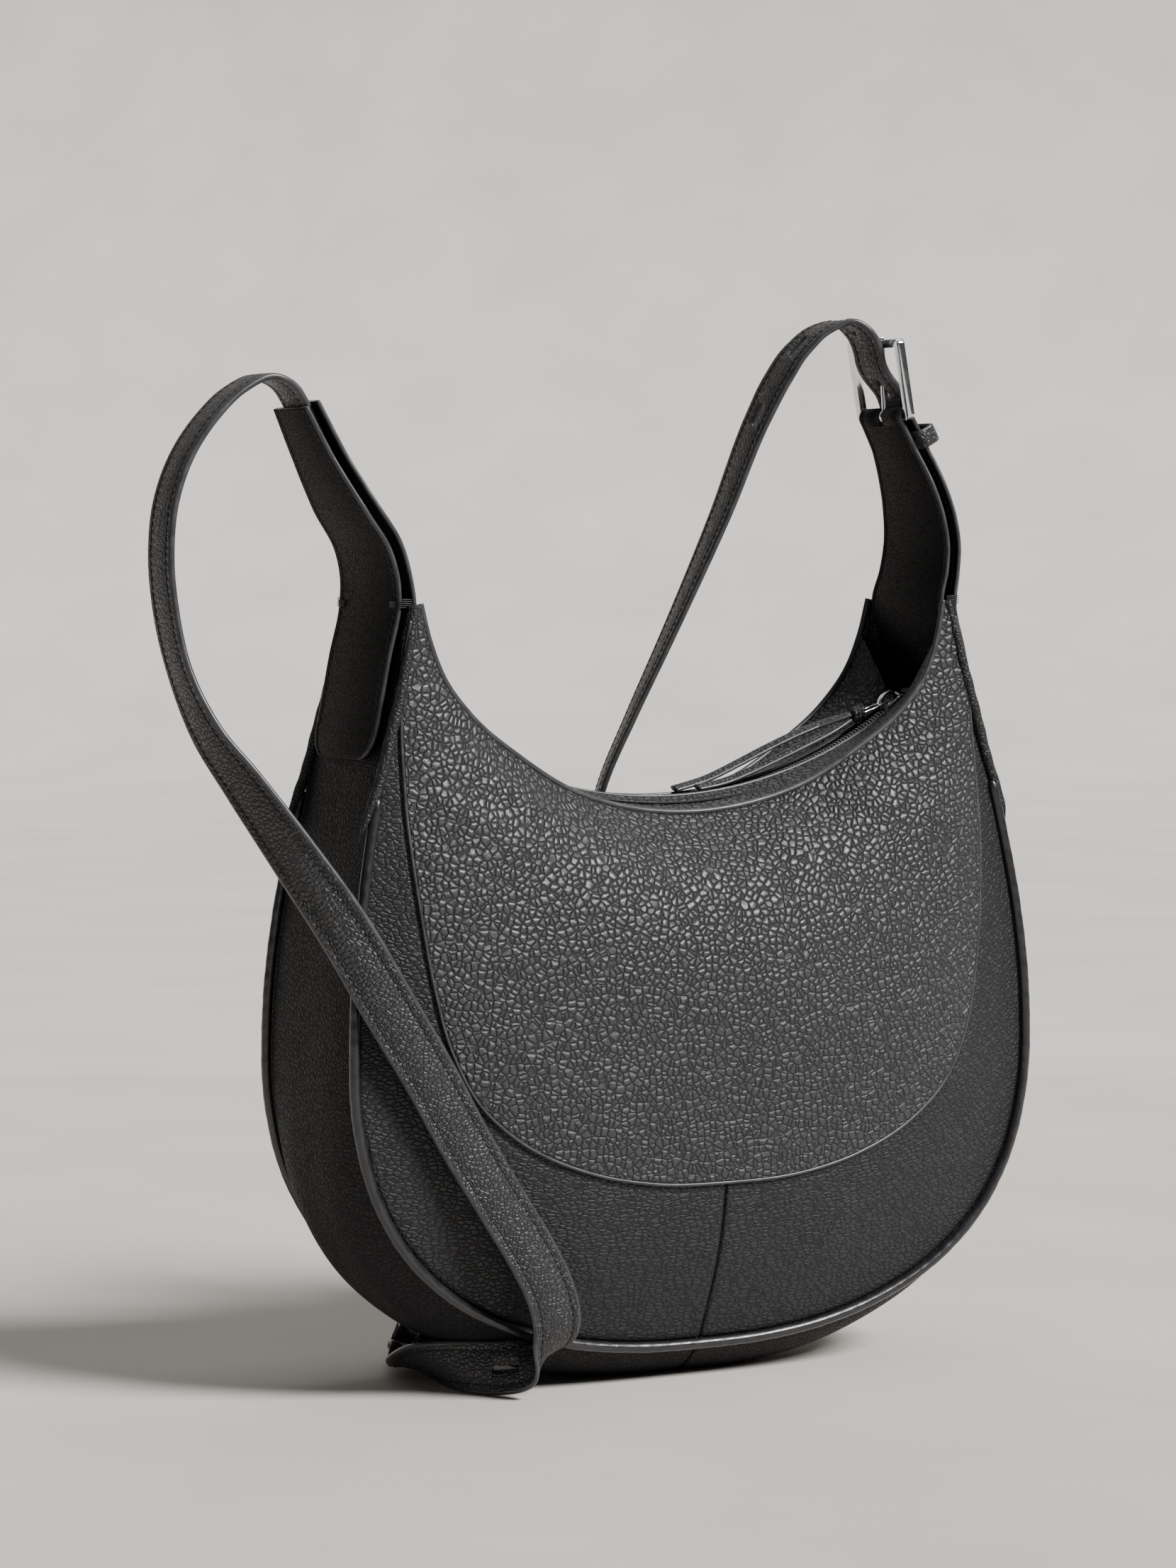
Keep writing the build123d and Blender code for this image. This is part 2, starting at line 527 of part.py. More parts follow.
STATIONS = [
    ((-147.3, 0, 366), (0, -1, 0)), ((-153, 0, 376), (0, -1, 0)), ((-163.5, 0, 397), (0, -1, 0)),
    ((-169, 0, 404.5), (0, -1, 0)), ((-177, 0, 407.8), (0, -1, 0)), ((-190, 0, 402.7), (0, -1, 0)),
    ((-201.6, 0, 392.4), (0, -1, 0)), ((-212.8, 0, 377), (0, -1, 0)), ((-220.5, -1, 358), (0, -1, 0)),
    ((-223, -2, 338), (0, -1, 0)), ((-222, -4, 316), (0, -1, 0)), ((-218, -9, 291), (0, -1, 0)),
    ((-210.5, -17, 268), (0.15, -0.98, 0.1)), ((-199, -26, 248), (0.35, -0.9, 0.25)),
    ((-182, -36, 220), (0.55, -0.75, 0.35)), ((-165, -45, 191.5), (0.7, -0.55, 0.42)),
    ((-148.5, -51, 161), (0.8, -0.35, 0.45)), ((-132, -53.5, 133), (0.85, -0.18, 0.5)),
    ((-117, -55, 106), (0.87, -0.08, 0.49)), ((-102.5, -57, 82), (0.88, 0, 0.46)),
    ((-89, -58, 60.5), (0.9, 0, 0.42)), ((-80, -57.5, 44), (0.93, 0, 0.36)),
    ((-75, -55, 30), (0.95, -0.05, 0.3)), ((-73, -50, 19), (0.93, -0.05, 0.35)),
    ((-76.5, -45.5, 13.5), (0.78, -0.1, 0.6)), ((-82.5, -38.5, 11.4), (0.42, 0, 0.91)),
    ((-90, -34, 11.3), (0.2, 0.1, 0.97)), ((-99, -31, 11.2), (0, 0, 1)),
    ((-107.5, -26, 11.2), (0, 0, 1)), ((-113.5, -17.5, 11.2), (-0.15, 0, 0.98)),
    ((-114.5, -6, 10.4), (-0.45, 0, 0.89)), ((-110.5, 6, 8.2), (-0.75, -0.1, 0.64)),
    ((-104, 19, 5.6), (-0.93, -0.15, 0.3)), ((-96, 32, 3.4), (-0.96, -0.28, 0.08)),
    ((-88, 48, 2.4), (-0.87, -0.5, 0)), ((-76, 62, 2.5), (-0.65, -0.76, 0)),
    ((-60, 71.5, 1.9), (-0.4, -0.92, 0)), ((-42, 76.5, 2.4), (-0.2, -0.98, 0)),
    ((-26, 79, 8), (-0.1, -0.99, 0)), ((-14, 80.5, 22), (-0.1, -0.99, 0)),
    ((-7, 81, 42), (-0.2, -0.98, 0)), ((-3, 81, 70), (-0.3, -0.95, 0)), ((-1, 80, 105), (-0.35, -0.93, 0)),
    ((0.5, 78, 145), (-0.38, -0.92, 0)), ((4, 70, 195), (-0.4, -0.91, 0)), ((10, 60, 242), (-0.4, -0.91, 0)),
    ((20, 55, 268), (-0.36, -0.93, 0)), ((34.5, 46.5, 305), (-0.28, -0.96, 0)), ((52, 34, 354.5), (-0.15, -0.98, 0)),
    ((63.5, 22, 395.5), (-0.05, -1, 0)), ((69, 16, 411), (0, -1, 0)), ((76, 10.5, 424), (0, -1, 0)),
    ((85, 6, 432.5), (0, -1, 0)), ((94, 2.5, 435), (0, -1, 0)),
    (by_buckle(35.5, -6.2), (0, -1, 0)), (by_buckle(29.5, -4.1), (0, -1, 0)), (by_buckle(22, -3.4), (0, -1, 0)),
    (by_buckle(17.5, -1.5), (0, -1, 0)), (by_buckle(13.3, 1.3), (0, -1, 0)), (by_buckle(9, 4), (0, -1, 0)),
    (by_buckle(4, 5.3), (0, -1, 0)),
    (outside_tab(9), (0, -1, 0)), (outside_tab(8), (0, -1, 0)), (outside_tab(7), (0, -1, 0)),
    (outside_tab(6), (0, -1, 0)), (outside_tab(5), (0, -1, 0)), (outside_tab(4), (0, -1, 0)),
]


def station_plane(index):
    """A plane across the strap at a station, with its local x along the strap's width."""
    centre = Vector(*STATIONS[index][0])
    before = Vector(*STATIONS[max(index - 1, 0)][0])
    after = Vector(*STATIONS[min(index + 1, len(STATIONS) - 1)][0])
    heading = (after - before).normalized()
    across = Vector(*STATIONS[index][1])
    across = (across - heading * across.dot(heading)).normalized()
    return Plane(origin=centre, x_dir=across, z_dir=heading)


sections = []
for index in range(len(STATIONS)):
    with BuildSketch(station_plane(index)) as section:
        Rectangle(STRAP_WIDTH, STRAP_THICK)
    sections.append(section.sketch)
with BuildPart() as strap:
    for first, last in zip(STRAP_RUNS, STRAP_RUNS[1:]):
        loft(sections[first:last + 1], ruled=True)
    for index in HOLE_STATIONS:
        across = station_plane(index)
        with BuildSketch(Plane(origin=across.origin, x_dir=across.z_dir, z_dir=across.y_dir)):
            SlotOverall(HOLE_LENGTH, HOLE_WIDTH)
        extrude(amount=2 * STRAP_THICK, both=True, mode=Mode.SUBTRACT)
write(strap, "shoulder_strap")

# Keeper: a leather loop round the tab's outer ply and the strap's tail, below the buckle. Its inner
# wall lies between the two plies.
keeper_near = PLY_NEAR - GAP
keeper_far = PLY_NEAR + PLY + STRAP_THICK + 4 * GAP
with BuildPart() as keeper:
    with BuildSketch(Plane.XZ):
        add(ring_band(KEEPER_LINE, -keeper_far - KEEPER_WALL, -keeper_near + KEEPER_WALL))
    extrude(amount=KEEPER_HALF_WIDTH + KEEPER_WALL, both=True)
    with BuildSketch(Plane.XZ):
        add(ring_band(KEEPER_LINE, -keeper_far, -keeper_near))
    extrude(amount=KEEPER_HALF_WIDTH, both=True, mode=Mode.SUBTRACT)
write(keeper, "strap_keeper")
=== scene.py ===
from math import cos, pi, radians, sin

import bmesh
import bpy
import numpy as np
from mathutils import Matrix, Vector


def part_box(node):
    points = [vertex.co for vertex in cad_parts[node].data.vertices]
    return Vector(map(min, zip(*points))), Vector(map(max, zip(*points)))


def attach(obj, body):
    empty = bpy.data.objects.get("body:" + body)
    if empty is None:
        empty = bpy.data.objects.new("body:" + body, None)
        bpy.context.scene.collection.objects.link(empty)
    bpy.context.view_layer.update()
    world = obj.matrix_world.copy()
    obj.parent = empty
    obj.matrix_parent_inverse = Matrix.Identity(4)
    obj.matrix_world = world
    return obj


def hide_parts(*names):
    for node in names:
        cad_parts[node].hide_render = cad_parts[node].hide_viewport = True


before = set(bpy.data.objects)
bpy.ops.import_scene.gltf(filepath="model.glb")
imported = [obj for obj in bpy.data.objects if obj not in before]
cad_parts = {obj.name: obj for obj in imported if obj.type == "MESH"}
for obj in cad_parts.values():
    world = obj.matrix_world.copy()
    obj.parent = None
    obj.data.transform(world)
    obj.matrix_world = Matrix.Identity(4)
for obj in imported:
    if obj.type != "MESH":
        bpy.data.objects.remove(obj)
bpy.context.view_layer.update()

# Hobo bag. Lists are in millimetres in the frame's axes and meshes in metres.
MM = 0.001
FRONT, BACK = -1, 1

# Outlines of the body, right half, from the bottom centre to the shoulder point (x, z)
GUSSET_EDGE = [(0, -0.8), (30, -0.2), (62, 4), (92, 14), (118, 28), (140, 48), (155, 76), (160.5, 112),
               (160, 150), (156, 190), (150.5, 220), (144, 250), (137, 282), (129.5, 318)]
PIPING_EDGE = [(0, 15.5), (32, 16.5), (60, 20.5), (88, 29), (113, 42), (135, 62), (149, 86), (156.5, 115),
               (157.5, 150), (154, 190), (149, 220), (142.5, 250), (135.5, 282), (128.5, 318)]
PIPING_DEPTH = [37, 37.2, 37.6, 38.2, 39, 39.5, 39.8, 39.8, 39.5, 37.5, 35, 33, 31.5, 30]
RIM = [(0, 232), (28, 234.6), (54, 242), (80, 256.5), (102, 273), (114, 288), (120, 303), (123.5, 318)]
RIM_DEPTH = [27, 27.4, 28.8, 30.8, 32, 31.6, 30.6, 29.6]
PANEL_SEAM = [(0, 84), (34, 85.5), (64, 92), (92, 105), (110, 121), (121, 142), (127.5, 168), (131.5, 196),
              (134, 224), (134.5, 252), (133.4, 282), (130.5, 302), (127, 318)]
SEAM_DEPTH = [59.5, 59.2, 58, 56, 54, 51.5, 48.5, 45, 40.5, 35.5, 32.3, 30.8, 29.8]
# Fullness of the panel between those lines (x, z, half depth)
FULLNESS = [(0, 50, 52), (60, 52, 50.5), (110, 76, 48.5), (0, 120, 62), (60, 125, 60.5), (0, 155, 62),
            (60, 160, 59.5), (98, 160, 56), (0, 190, 57), (50, 195, 55.5), (95, 205, 50), (0, 215, 44.5),
            (40, 222, 42.5), (80, 240, 40), (112, 262, 36.5)]
# The gusset's pinched edge at each shoulder, front and back (x, z)
FOLD = [(126.5, 318), (130.5, 300), (135.6, 279.7), (139.5, 266), (143.5, 252), (148, 240), (152.5, 229),
        (155, 219)]
FOLD_DEPTH = [29.5, 31.5, 33, 33.5, 34, 34.3, 34, 31]
PIPING_TOP = 243  # the piping ends here, tucked behind the fold
PIPING_RADIUS = 2.2
SKIN = 1.5  # leather of the body

# Zip: one circular arc seen from the front
ZIP_CENTRE_Z, ZIP_RADIUS, ZIP_HALF_ANGLE = 441.0, 205.0, 37.0
FACING_NEAR = 5.5

# Tabs, seen from the front from the lower end up (x, z), with half widths against height
LEFT_TAB = [(-141.7, 256), (-138.1, 272), (-133.3, 296), (-128.5, 318), (-128.6, 328), (-132, 341), (-141.5, 356),
            (-153, 376), (-163.5, 397)]
LEFT_HALF_WIDTH = [(250, 27), (318, 27), (341, 24.8), (356, 23.5), (376, 18.5), (400, 14.7)]
RIGHT_TAB = [(142.4, 253), (138.1, 272), (133.3, 296), (128.5, 318), (130.6, 330), (132, 342), (130.6, 355),
             (127, 368), (121.5, 381), (113.5, 396)]
RIGHT_HALF_WIDTH = [(250, 27), (320, 27.3), (340, 25.5), (355, 23.4), (368, 20.7), (382, 17), (404, 15.5)]
PLY, PLY_MIDDLE = 1.8, 2.8
STRAP_WIDTH, STRAP_THICK = 22.0, 2.6
STITCH_PITCH = 3.1
HEEL = (113.5, 396.0)
BUCKLE_LEAN = radians(10)


# ---------------------------------------------------------------- curves and surfaces
def mirrored(half):
    """A whole left to right line from its right half."""
    return [(-p[0], *p[1:]) for p in reversed(half) if p[0] > 0] + list(half)


def joined(points, depths):
    """Points (x, z) with their half depths as (x, z, depth)."""
    return [(x, z, d) for (x, z), d in zip(points, depths)]


def curve(points, count):
    """A smooth line through the points, as count evenly spaced points."""
    pts = np.array(points, float)
    at = np.r_[0, np.cumsum(np.linalg.norm(np.diff(pts, axis=0), axis=1))]
    tangent = np.gradient(pts, at, axis=0)
    fine = np.linspace(0, at[-1], 40 * len(pts))
    i = np.clip(np.searchsorted(at, fine, side="right") - 1, 0, len(pts) - 2)
    span = (at[i + 1] - at[i])[:, None]
    s = (fine - at[i])[:, None] / span
    line = ((2 * s**3 - 3 * s**2 + 1) * pts[i] + (s**3 - 2 * s**2 + s) * span * tangent[i]
            + (3 * s**2 - 2 * s**3) * pts[i + 1] + (s**3 - s**2) * span * tangent[i + 1])
    return resampled(line, count)


def resampled(line, count):
    run = np.r_[0, np.cumsum(np.linalg.norm(np.diff(line, axis=0), axis=1))]
    even = np.linspace(0, run[-1], count)
    return np.stack([np.interp(even, run, line[:, k]) for k in range(line.shape[1])], axis=1)


def running_mean(values, reach):
    """Each value averaged with its neighbours up to reach away."""
    count = 2 * reach + 1
    return np.convolve(np.pad(values, reach, mode="edge"), np.ones(count) / count, mode="valid")


def thin_plate(knots):
    """The smoothest surface through the knots (x, z, depth), as a function of x and z."""
    knots = np.array(knots, float)
    flat = knots[:, :2] / 100

    def kernel(r2):
        return 0.5 * r2 * np.log(r2 + 1e-12)

    n = len(flat)
    system = np.zeros((n + 3, n + 3))
    system[:n, :n] = kernel(((flat[:, None] - flat[None]) ** 2).sum(-1)) + 2e-3 * np.eye(n)
    system[:n, n:] = np.c_[np.ones(n), flat]
    system[n:, :n] = system[:n, n:].T
    weights = np.linalg.solve(system, np.r_[knots[:, 2], np.zeros(3)])

    def depth(x, z):
        x, z = np.asarray(x, float) / 100, np.asarray(z, float) / 100
        r2 = (x[..., None] - flat[:, 0]) ** 2 + (z[..., None] - flat[:, 1]) ** 2
        return kernel(r2) @ weights[:n] + weights[n] + weights[n + 1] * x + weights[n + 2] * z

    return depth


PIPING_LINE = curve(mirrored(joined(PIPING_EDGE, PIPING_DEPTH)), 600)
SEAM_LINE = curve(mirrored(joined(PANEL_SEAM, SEAM_DEPTH)), 600)
RIM_LINE = curve(mirrored(joined(RIM, RIM_DEPTH)), 600)
panel_depth = thin_plate(list(PIPING_LINE[::20]) + list(SEAM_LINE[10:-10:20]) + list(RIM_LINE[::20])
                         + mirrored(FULLNESS))


def slouch(x, z):
    """Soft dents and creases of the worn leather, in millimetres of half depth."""
    dents = 0.9 * np.exp(-((x + 95) / 26) ** 2 - ((z - 238) / 16) ** 2) * np.cos((x + 1.6 * z) / 7)
    right = np.exp(-((x - 112) / 18) ** 2 - ((z - 264) / 17) ** 2)
    creases = 0.55 * right * np.sin((z - 0.62 * x) / 1.25 + 1.3 * np.sin(x / 9))
    left = np.exp(-((x + 118) / 14) ** 2 - ((z - 272) / 16) ** 2)
    creases += 0.4 * left * np.sin((z + 0.8 * x) / 1.5 + np.sin(x / 7))
    belly = 1.1 * np.sin(x / 46 + 0.6) * np.sin(z / 31) * np.exp(-(x / 120) ** 2 - ((z - 150) / 70) ** 2)
    return dents + creases - belly


def front_point(x, z, lift, side):
    """A point on the front or back panel, lifted off it."""
    depth = panel_depth(x, z) + slouch(x * (-side), z) * np.clip((236 - z) / 60 + 1, 0, 1) + lift
    return np.stack([x, side * depth, z], axis=-1)


# ---------------------------------------------------------------- meshes
def mesh_piece(name, verts, faces, materials, body="bag", stands_for=(), marks=None, smooth=True):
    """A mesh object from vertices in millimetres, riding on a body."""
    mesh = bpy.data.meshes.new(name)
    mesh.from_pydata([tuple(v) for v in np.asarray(verts) * MM], [], faces)
    for material in materials:
        mesh.materials.append(material)
    if marks is not None:
        mesh.polygons.foreach_set("material_index", marks)
    work = bmesh.new()
    work.from_mesh(mesh)
    bmesh.ops.remove_doubles(work, verts=work.verts, dist=1e-6)
    bmesh.ops.recalc_face_normals(work, faces=work.faces)
    work.to_mesh(mesh)
    work.free()
    mesh.polygons.foreach_set("use_smooth", [smooth] * len(mesh.polygons))
    piece = bpy.data.objects.new(name, mesh)
    bpy.context.scene.collection.objects.link(piece)
    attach(piece, body)
    if stands_for:
        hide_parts(*stands_for)
    return piece


def grid_faces(rows, cols, closed=False, start=0):
    faces = []
    for i in range(rows - 1):
        for j in range(cols if closed else cols - 1):
            k = (j + 1) % cols
            faces.append((start + i * cols + j, start + i * cols + k,
                          start + (i + 1) * cols + k, start + (i + 1) * cols + j))
    return faces


def leather_sheet(name, grid, material, stands_for=(), thickness=SKIN, outward=None, body="bag"):
    """A thin leather piece: a grid of points and its inner face, closed round the edge."""
    rows, cols = grid.shape[:2]
    du = np.gradient(grid, axis=1)
    dv = np.gradient(grid, axis=0)
    normal = np.cross(du, dv)
    normal /= np.linalg.norm(normal, axis=2, keepdims=True) + 1e-9
    if outward is not None and (normal[rows // 2, cols // 2] @ np.array(outward)) < 0:
        normal = -normal
    inner = grid - normal * thickness
    verts = np.concatenate([grid.reshape(-1, 3), inner.reshape(-1, 3)])
    half = rows * cols
    faces = grid_faces(rows, cols) + grid_faces(rows, cols, start=half)
    border = ([(0, j) for j in range(cols)] + [(i, cols - 1) for i in range(1, rows)]
              + [(rows - 1, j) for j in range(cols - 2, -1, -1)] + [(i, 0) for i in range(rows - 2, 0, -1)])
    ring = [i * cols + j for i, j in border]
    for a, b in zip(ring, ring[1:] + ring[:1]):
        faces.append((a, b, b + half, a + half))
    return mesh_piece(name, verts, faces, [material], body, stands_for)


def frames_along(line, across):
    """Headings, widths and normals along a line of points."""
    heading = np.gradient(line, axis=0)
    heading /= np.linalg.norm(heading, axis=1, keepdims=True)
    across = across - heading * (across * heading).sum(1, keepdims=True)
    across /= np.linalg.norm(across, axis=1, keepdims=True)
    return heading, across, np.cross(across, heading)


def tube(name, line, radius, material, stands_for=(), sides=14, body="bag"):
    """A round tube along a line, closed by a flat face at each end."""
    line = np.asarray(line, float)
    radius = np.broadcast_to(np.asarray(radius, float), len(line)).copy()
    _, across, normal = frames_along(line, np.array([[0.05, 1.0, 0.02]]) + 0 * line)
    verts = []
    for p, r, a, n in zip(line, radius, across, normal):
        for k in range(sides):
            t = 2 * pi * k / sides
            verts.append(p + r * (cos(t) * a + sin(t) * n))
    faces = grid_faces(len(line), sides, closed=True)
    faces.append(tuple(range(sides)))
    faces.append(tuple(range((len(line) - 1) * sides, len(line) * sides)))
    return mesh_piece(name, verts, faces, [material], body, stands_for)


def ribbon(name, line, across, half_width, thickness, face, edge, stands_for=(), closed=False, body="bag",
           crown=0.12, margin=3.9, groove=0.0):
    """A flat leather strip with rounded, painted edges and a groove along each row of stitches."""
    line = np.asarray(line, float)
    half_width = np.broadcast_to(np.asarray(half_width, float), len(line))
    if closed:
        line = np.vstack([line, line[:1]])
        across = np.vstack([across, across[:1]])
        half_width = np.r_[half_width, half_width[:1]]
    heading, across, normal = frames_along(line, across)
    if closed:
        for field in (heading, across, normal):
            field[0] = field[-1] = (field[0] + field[-1]) / 2
        line, across, normal, half_width = line[:-1], across[:-1], normal[:-1], half_width[:-1]
    half = thickness / 2
    turn = np.linspace(radians(60), radians(-60), 4)
    dips = groove * np.array([0, 0, 1, 0, 0, 0, 1, 0, 0])
    verts = []
    for p, a, n, w in zip(line, across, normal, half_width):
        reach = w - half
        row = max(w - margin, 0.4 * reach)
        step = 0.5 * min(1.0, 2 * (reach - row))
        flat = np.array([-reach, -row - step, -row, step - row, 0, row - step, row, row + step, reach])
        top = half + crown * (1 - (flat / reach) ** 2) - dips
        section = list(zip(flat, top))
        section += [(reach + half * cos(t), half * sin(t)) for t in turn]
        section += list(zip(-flat, -top))
        section += [(-reach - half * cos(t), -half * sin(t)) for t in turn]
        verts += [p + a * u + n * v for u, v in section]
    sides = 26
    rows = len(line)
    faces = grid_faces(rows, sides, closed=True)
    marks = [0 if j % 13 < 8 else 1 for _ in range(rows - 1) for j in range(sides)]
    if closed:
        for j in range(sides):
            k = (j + 1) % sides
            faces.append(((rows - 1) * sides + j, (rows - 1) * sides + k, k, j))
            marks.append(0 if j % 13 < 8 else 1)
    else:
        faces += [tuple(range(sides)), tuple(range((rows - 1) * sides, rows * sides))]
        marks += [1, 1]
    return mesh_piece(name, verts, faces, [face, edge], body, stands_for, marks)


def stitches(name, tracks, body="bag", pitch=STITCH_PITCH, length=2.5, half_width=0.4, rise=0.3):
    """Rows of thread stitches along tracks, each a list of points and outward normals."""
    profile = [(-0.5, 0.05), (-0.38, 0.75), (0, 1), (0.38, 0.75), (0.5, 0.05)]
    verts, faces = [], []
    for line, normal in tracks:
        run = np.r_[0, np.cumsum(np.linalg.norm(np.diff(line, axis=0), axis=1))]
        count = int(run[-1] / pitch)
        at = (np.arange(count) + 0.5) * run[-1] / max(count, 1)
        point = np.stack([np.interp(at, run, line[:, k]) for k in range(3)], axis=1)
        ahead = np.stack([np.interp(at + 0.5, run, line[:, k]) for k in range(3)], axis=1)
        behind = np.stack([np.interp(at - 0.5, run, line[:, k]) for k in range(3)], axis=1)
        up = np.stack([np.interp(at, run, normal[:, k]) for k in range(3)], axis=1)
        for p, h, u in zip(point, ahead - behind, up):
            h = h / (np.linalg.norm(h) + 1e-9)
            u = u - h * (u @ h)
            u = u / (np.linalg.norm(u) + 1e-9)
            w = np.cross(h, u)
            start = len(verts)
            for along, fat in profile:
                for k in range(6):
                    t = pi * k / 3
                    verts.append(p + h * length * along + w * half_width * fat * cos(t)
                                 + u * (rise * fat * sin(t) - 0.12 * abs(along) * 2))
            faces += grid_faces(len(profile), 6, closed=True, start=start)
            faces.append(tuple(range(start, start + 6)))
            faces.append(tuple(range(start + 24, start + 30)))
    return mesh_piece(name, verts, faces, [THREAD], body)


# ---------------------------------------------------------------- materials
def new_material(name, colour, rough):
    material = bpy.data.materials.new(name)
    material.use_nodes = True
    nodes, links = material.node_tree.nodes, material.node_tree.links
    shader = nodes["Principled BSDF"]
    shader.inputs["Base Color"].default_value = (*colour, 1)
    shader.inputs["Roughness"].default_value = rough
    place = nodes.new("ShaderNodeTexCoord")
    return material, nodes, links, shader, place.outputs["Object"]


def ramp(nodes, links, value, stops, colour=False):
    """A colour ramp of value with (position, level or colour) stops."""
    node = nodes.new("ShaderNodeValToRGB")
    links.new(value, node.inputs["Fac"])
    while len(node.color_ramp.elements) < len(stops):
        node.color_ramp.elements.new(0.5)
    for element, (position, level) in zip(node.color_ramp.elements, stops):
        element.position = position
        element.color = (*level, 1) if colour else (level, level, level, 1)
    return node.outputs["Color"]


def noise(nodes, links, place, scale, detail=3):
    node = nodes.new("ShaderNodeTexNoise")
    node.inputs["Scale"].default_value = scale
    node.inputs["Detail"].default_value = detail
    links.new(place, node.inputs["Vector"])
    return node.outputs["Fac"]


def leather(name, colour, rough, cell, depth, painted_grain_shading=0.5, stretch=(1, 1, 1), shine=0.5):
    """Pebbled leather: rounded grains of the size cell (mm) parted by fine creases, with painted shade in the creases
    and a painted highlight on the grain tops.
    """
    material, nodes, links, shader, place = new_material(name, colour, rough)
    squash = nodes.new("ShaderNodeMapping")
    squash.inputs["Scale"].default_value = stretch
    links.new(place, squash.inputs["Vector"])
    warp = nodes.new("ShaderNodeTexNoise")
    warp.inputs["Scale"].default_value = 400 / cell
    warp.inputs["Detail"].default_value = 2
    links.new(squash.outputs["Vector"], warp.inputs["Vector"])
    push = nodes.new("ShaderNodeVectorMath")
    push.operation = "MULTIPLY_ADD"
    push.inputs[1].default_value = (0.35 * cell * MM,) * 3
    links.new(warp.outputs["Color"], push.inputs[0])
    links.new(squash.outputs["Vector"], push.inputs[2])
    grains = nodes.new("ShaderNodeTexVoronoi")
    grains.feature = "DISTANCE_TO_EDGE"
    grains.inputs["Scale"].default_value = 1000 / cell
    links.new(push.outputs["Vector"], grains.inputs["Vector"])
    height = ramp(nodes, links, grains.outputs["Distance"], [(0.0, 0.0), (0.05, 0.3), (0.16, 0.72), (0.32, 0.93),
                                                            (0.5, 1.0)])
    fine = noise(nodes, links, place, 2600 / cell, 4)
    pores = nodes.new("ShaderNodeMath")
    pores.operation = "MULTIPLY_ADD"
    pores.inputs[1].default_value = 0.22
    links.new(fine, pores.inputs[0])
    links.new(height, pores.inputs[2])
    bump = nodes.new("ShaderNodeBump")
    bump.inputs["Strength"].default_value = 1.0
    bump.inputs["Distance"].default_value = depth * MM
    links.new(pores.outputs["Value"], bump.inputs["Height"])
    links.new(bump.outputs["Normal"], shader.inputs["Normal"])
    # Painted shade and highlight: the base colour darkens in the creases between grains and lightens on the grain
    # tops.
    crease_shade_colour = tuple(c * (1 - painted_grain_shading) for c in colour)
    light = tuple(c * (1 + 0.7 * painted_grain_shading) for c in colour)
    shaded_grain_colour = ramp(nodes, links, grains.outputs["Distance"], [(0.02, crease_shade_colour), (0.14, colour), (0.4, light)], True)
    blotch = ramp(nodes, links, noise(nodes, links, place, 14, 3),
                  [(0.3, (0.82, 0.82, 0.84)), (0.7, (1.12, 1.12, 1.1))], True)
    mix = nodes.new("ShaderNodeMix")
    mix.data_type = "RGBA"
    mix.blend_type = "MULTIPLY"
    mix.inputs["Factor"].default_value = 1
    links.new(shaded_grain_colour, mix.inputs["A"])
    links.new(blotch, mix.inputs["B"])
    links.new(mix.outputs["Result"], shader.inputs["Base Color"])
    gloss = ramp(nodes, links, grains.outputs["Distance"], [(0.0, min(rough + 0.25, 1)), (0.25, rough)])
    links.new(gloss, shader.inputs["Roughness"])
    shader.inputs["Specular IOR Level"].default_value = shine
    return material


def smooth_leather(name, colour, rough, depth=0.05, coat=0.0):
    """Fine-grained edge paint or piping leather with faint cross creases."""
    material, nodes, links, shader, place = new_material(name, colour, rough)
    worn = ramp(nodes, links, noise(nodes, links, place, 160, 4),
                [(0.35, tuple(c * 0.75 for c in colour)), (0.65, tuple(c * 1.3 for c in colour))], True)
    links.new(worn, shader.inputs["Base Color"])
    bump = nodes.new("ShaderNodeBump")
    bump.inputs["Strength"].default_value = 1.0
    bump.inputs["Distance"].default_value = depth * MM
    links.new(noise(nodes, links, place, 900, 5), bump.inputs["Height"])
    links.new(bump.outputs["Normal"], shader.inputs["Normal"])
    links.new(ramp(nodes, links, noise(nodes, links, place, 300, 3), [(0.3, rough - 0.06), (0.7, rough + 0.1)]),
              shader.inputs["Roughness"])
    shader.inputs["Coat Weight"].default_value = coat
    return material


def woven(name, colour, pitch, rough=0.85):
    """Plain woven cloth or tape."""
    material, nodes, links, shader, place = new_material(name, colour, rough)
    waves = []
    for axis in ("X", "Z"):
        wave = nodes.new("ShaderNodeTexWave")
        wave.bands_direction = axis
        wave.inputs["Scale"].default_value = 1000 / pitch / 3.2
        wave.inputs["Distortion"].default_value = 0.6
        links.new(place, wave.inputs["Vector"])
        waves.append(wave.outputs["Fac"])
    weave = nodes.new("ShaderNodeMath")
    weave.operation = "MULTIPLY"
    links.new(waves[0], weave.inputs[0])
    links.new(waves[1], weave.inputs[1])
    links.new(ramp(nodes, links, weave.outputs["Value"],
                   [(0.0, tuple(c * 0.6 for c in colour)), (0.7, tuple(c * 1.25 for c in colour))], True),
              shader.inputs["Base Color"])
    bump = nodes.new("ShaderNodeBump")
    bump.inputs["Strength"].default_value = 0.8
    bump.inputs["Distance"].default_value = 0.12 * MM
    links.new(weave.outputs["Value"], bump.inputs["Height"])
    links.new(bump.outputs["Normal"], shader.inputs["Normal"])
    return material


def metal(name, colour, rough):
    """Polished plated metal with faint wear."""
    material, nodes, links, shader, place = new_material(name, colour, rough)
    shader.inputs["Metallic"].default_value = 1
    links.new(ramp(nodes, links, noise(nodes, links, place, 220, 5), [(0.35, rough), (0.75, rough + 0.12)]),
              shader.inputs["Roughness"])
    links.new(ramp(nodes, links, noise(nodes, links, place, 60, 3),
                   [(0.3, tuple(c * 0.9 for c in colour)), (0.7, colour)], True), shader.inputs["Base Color"])
    return material


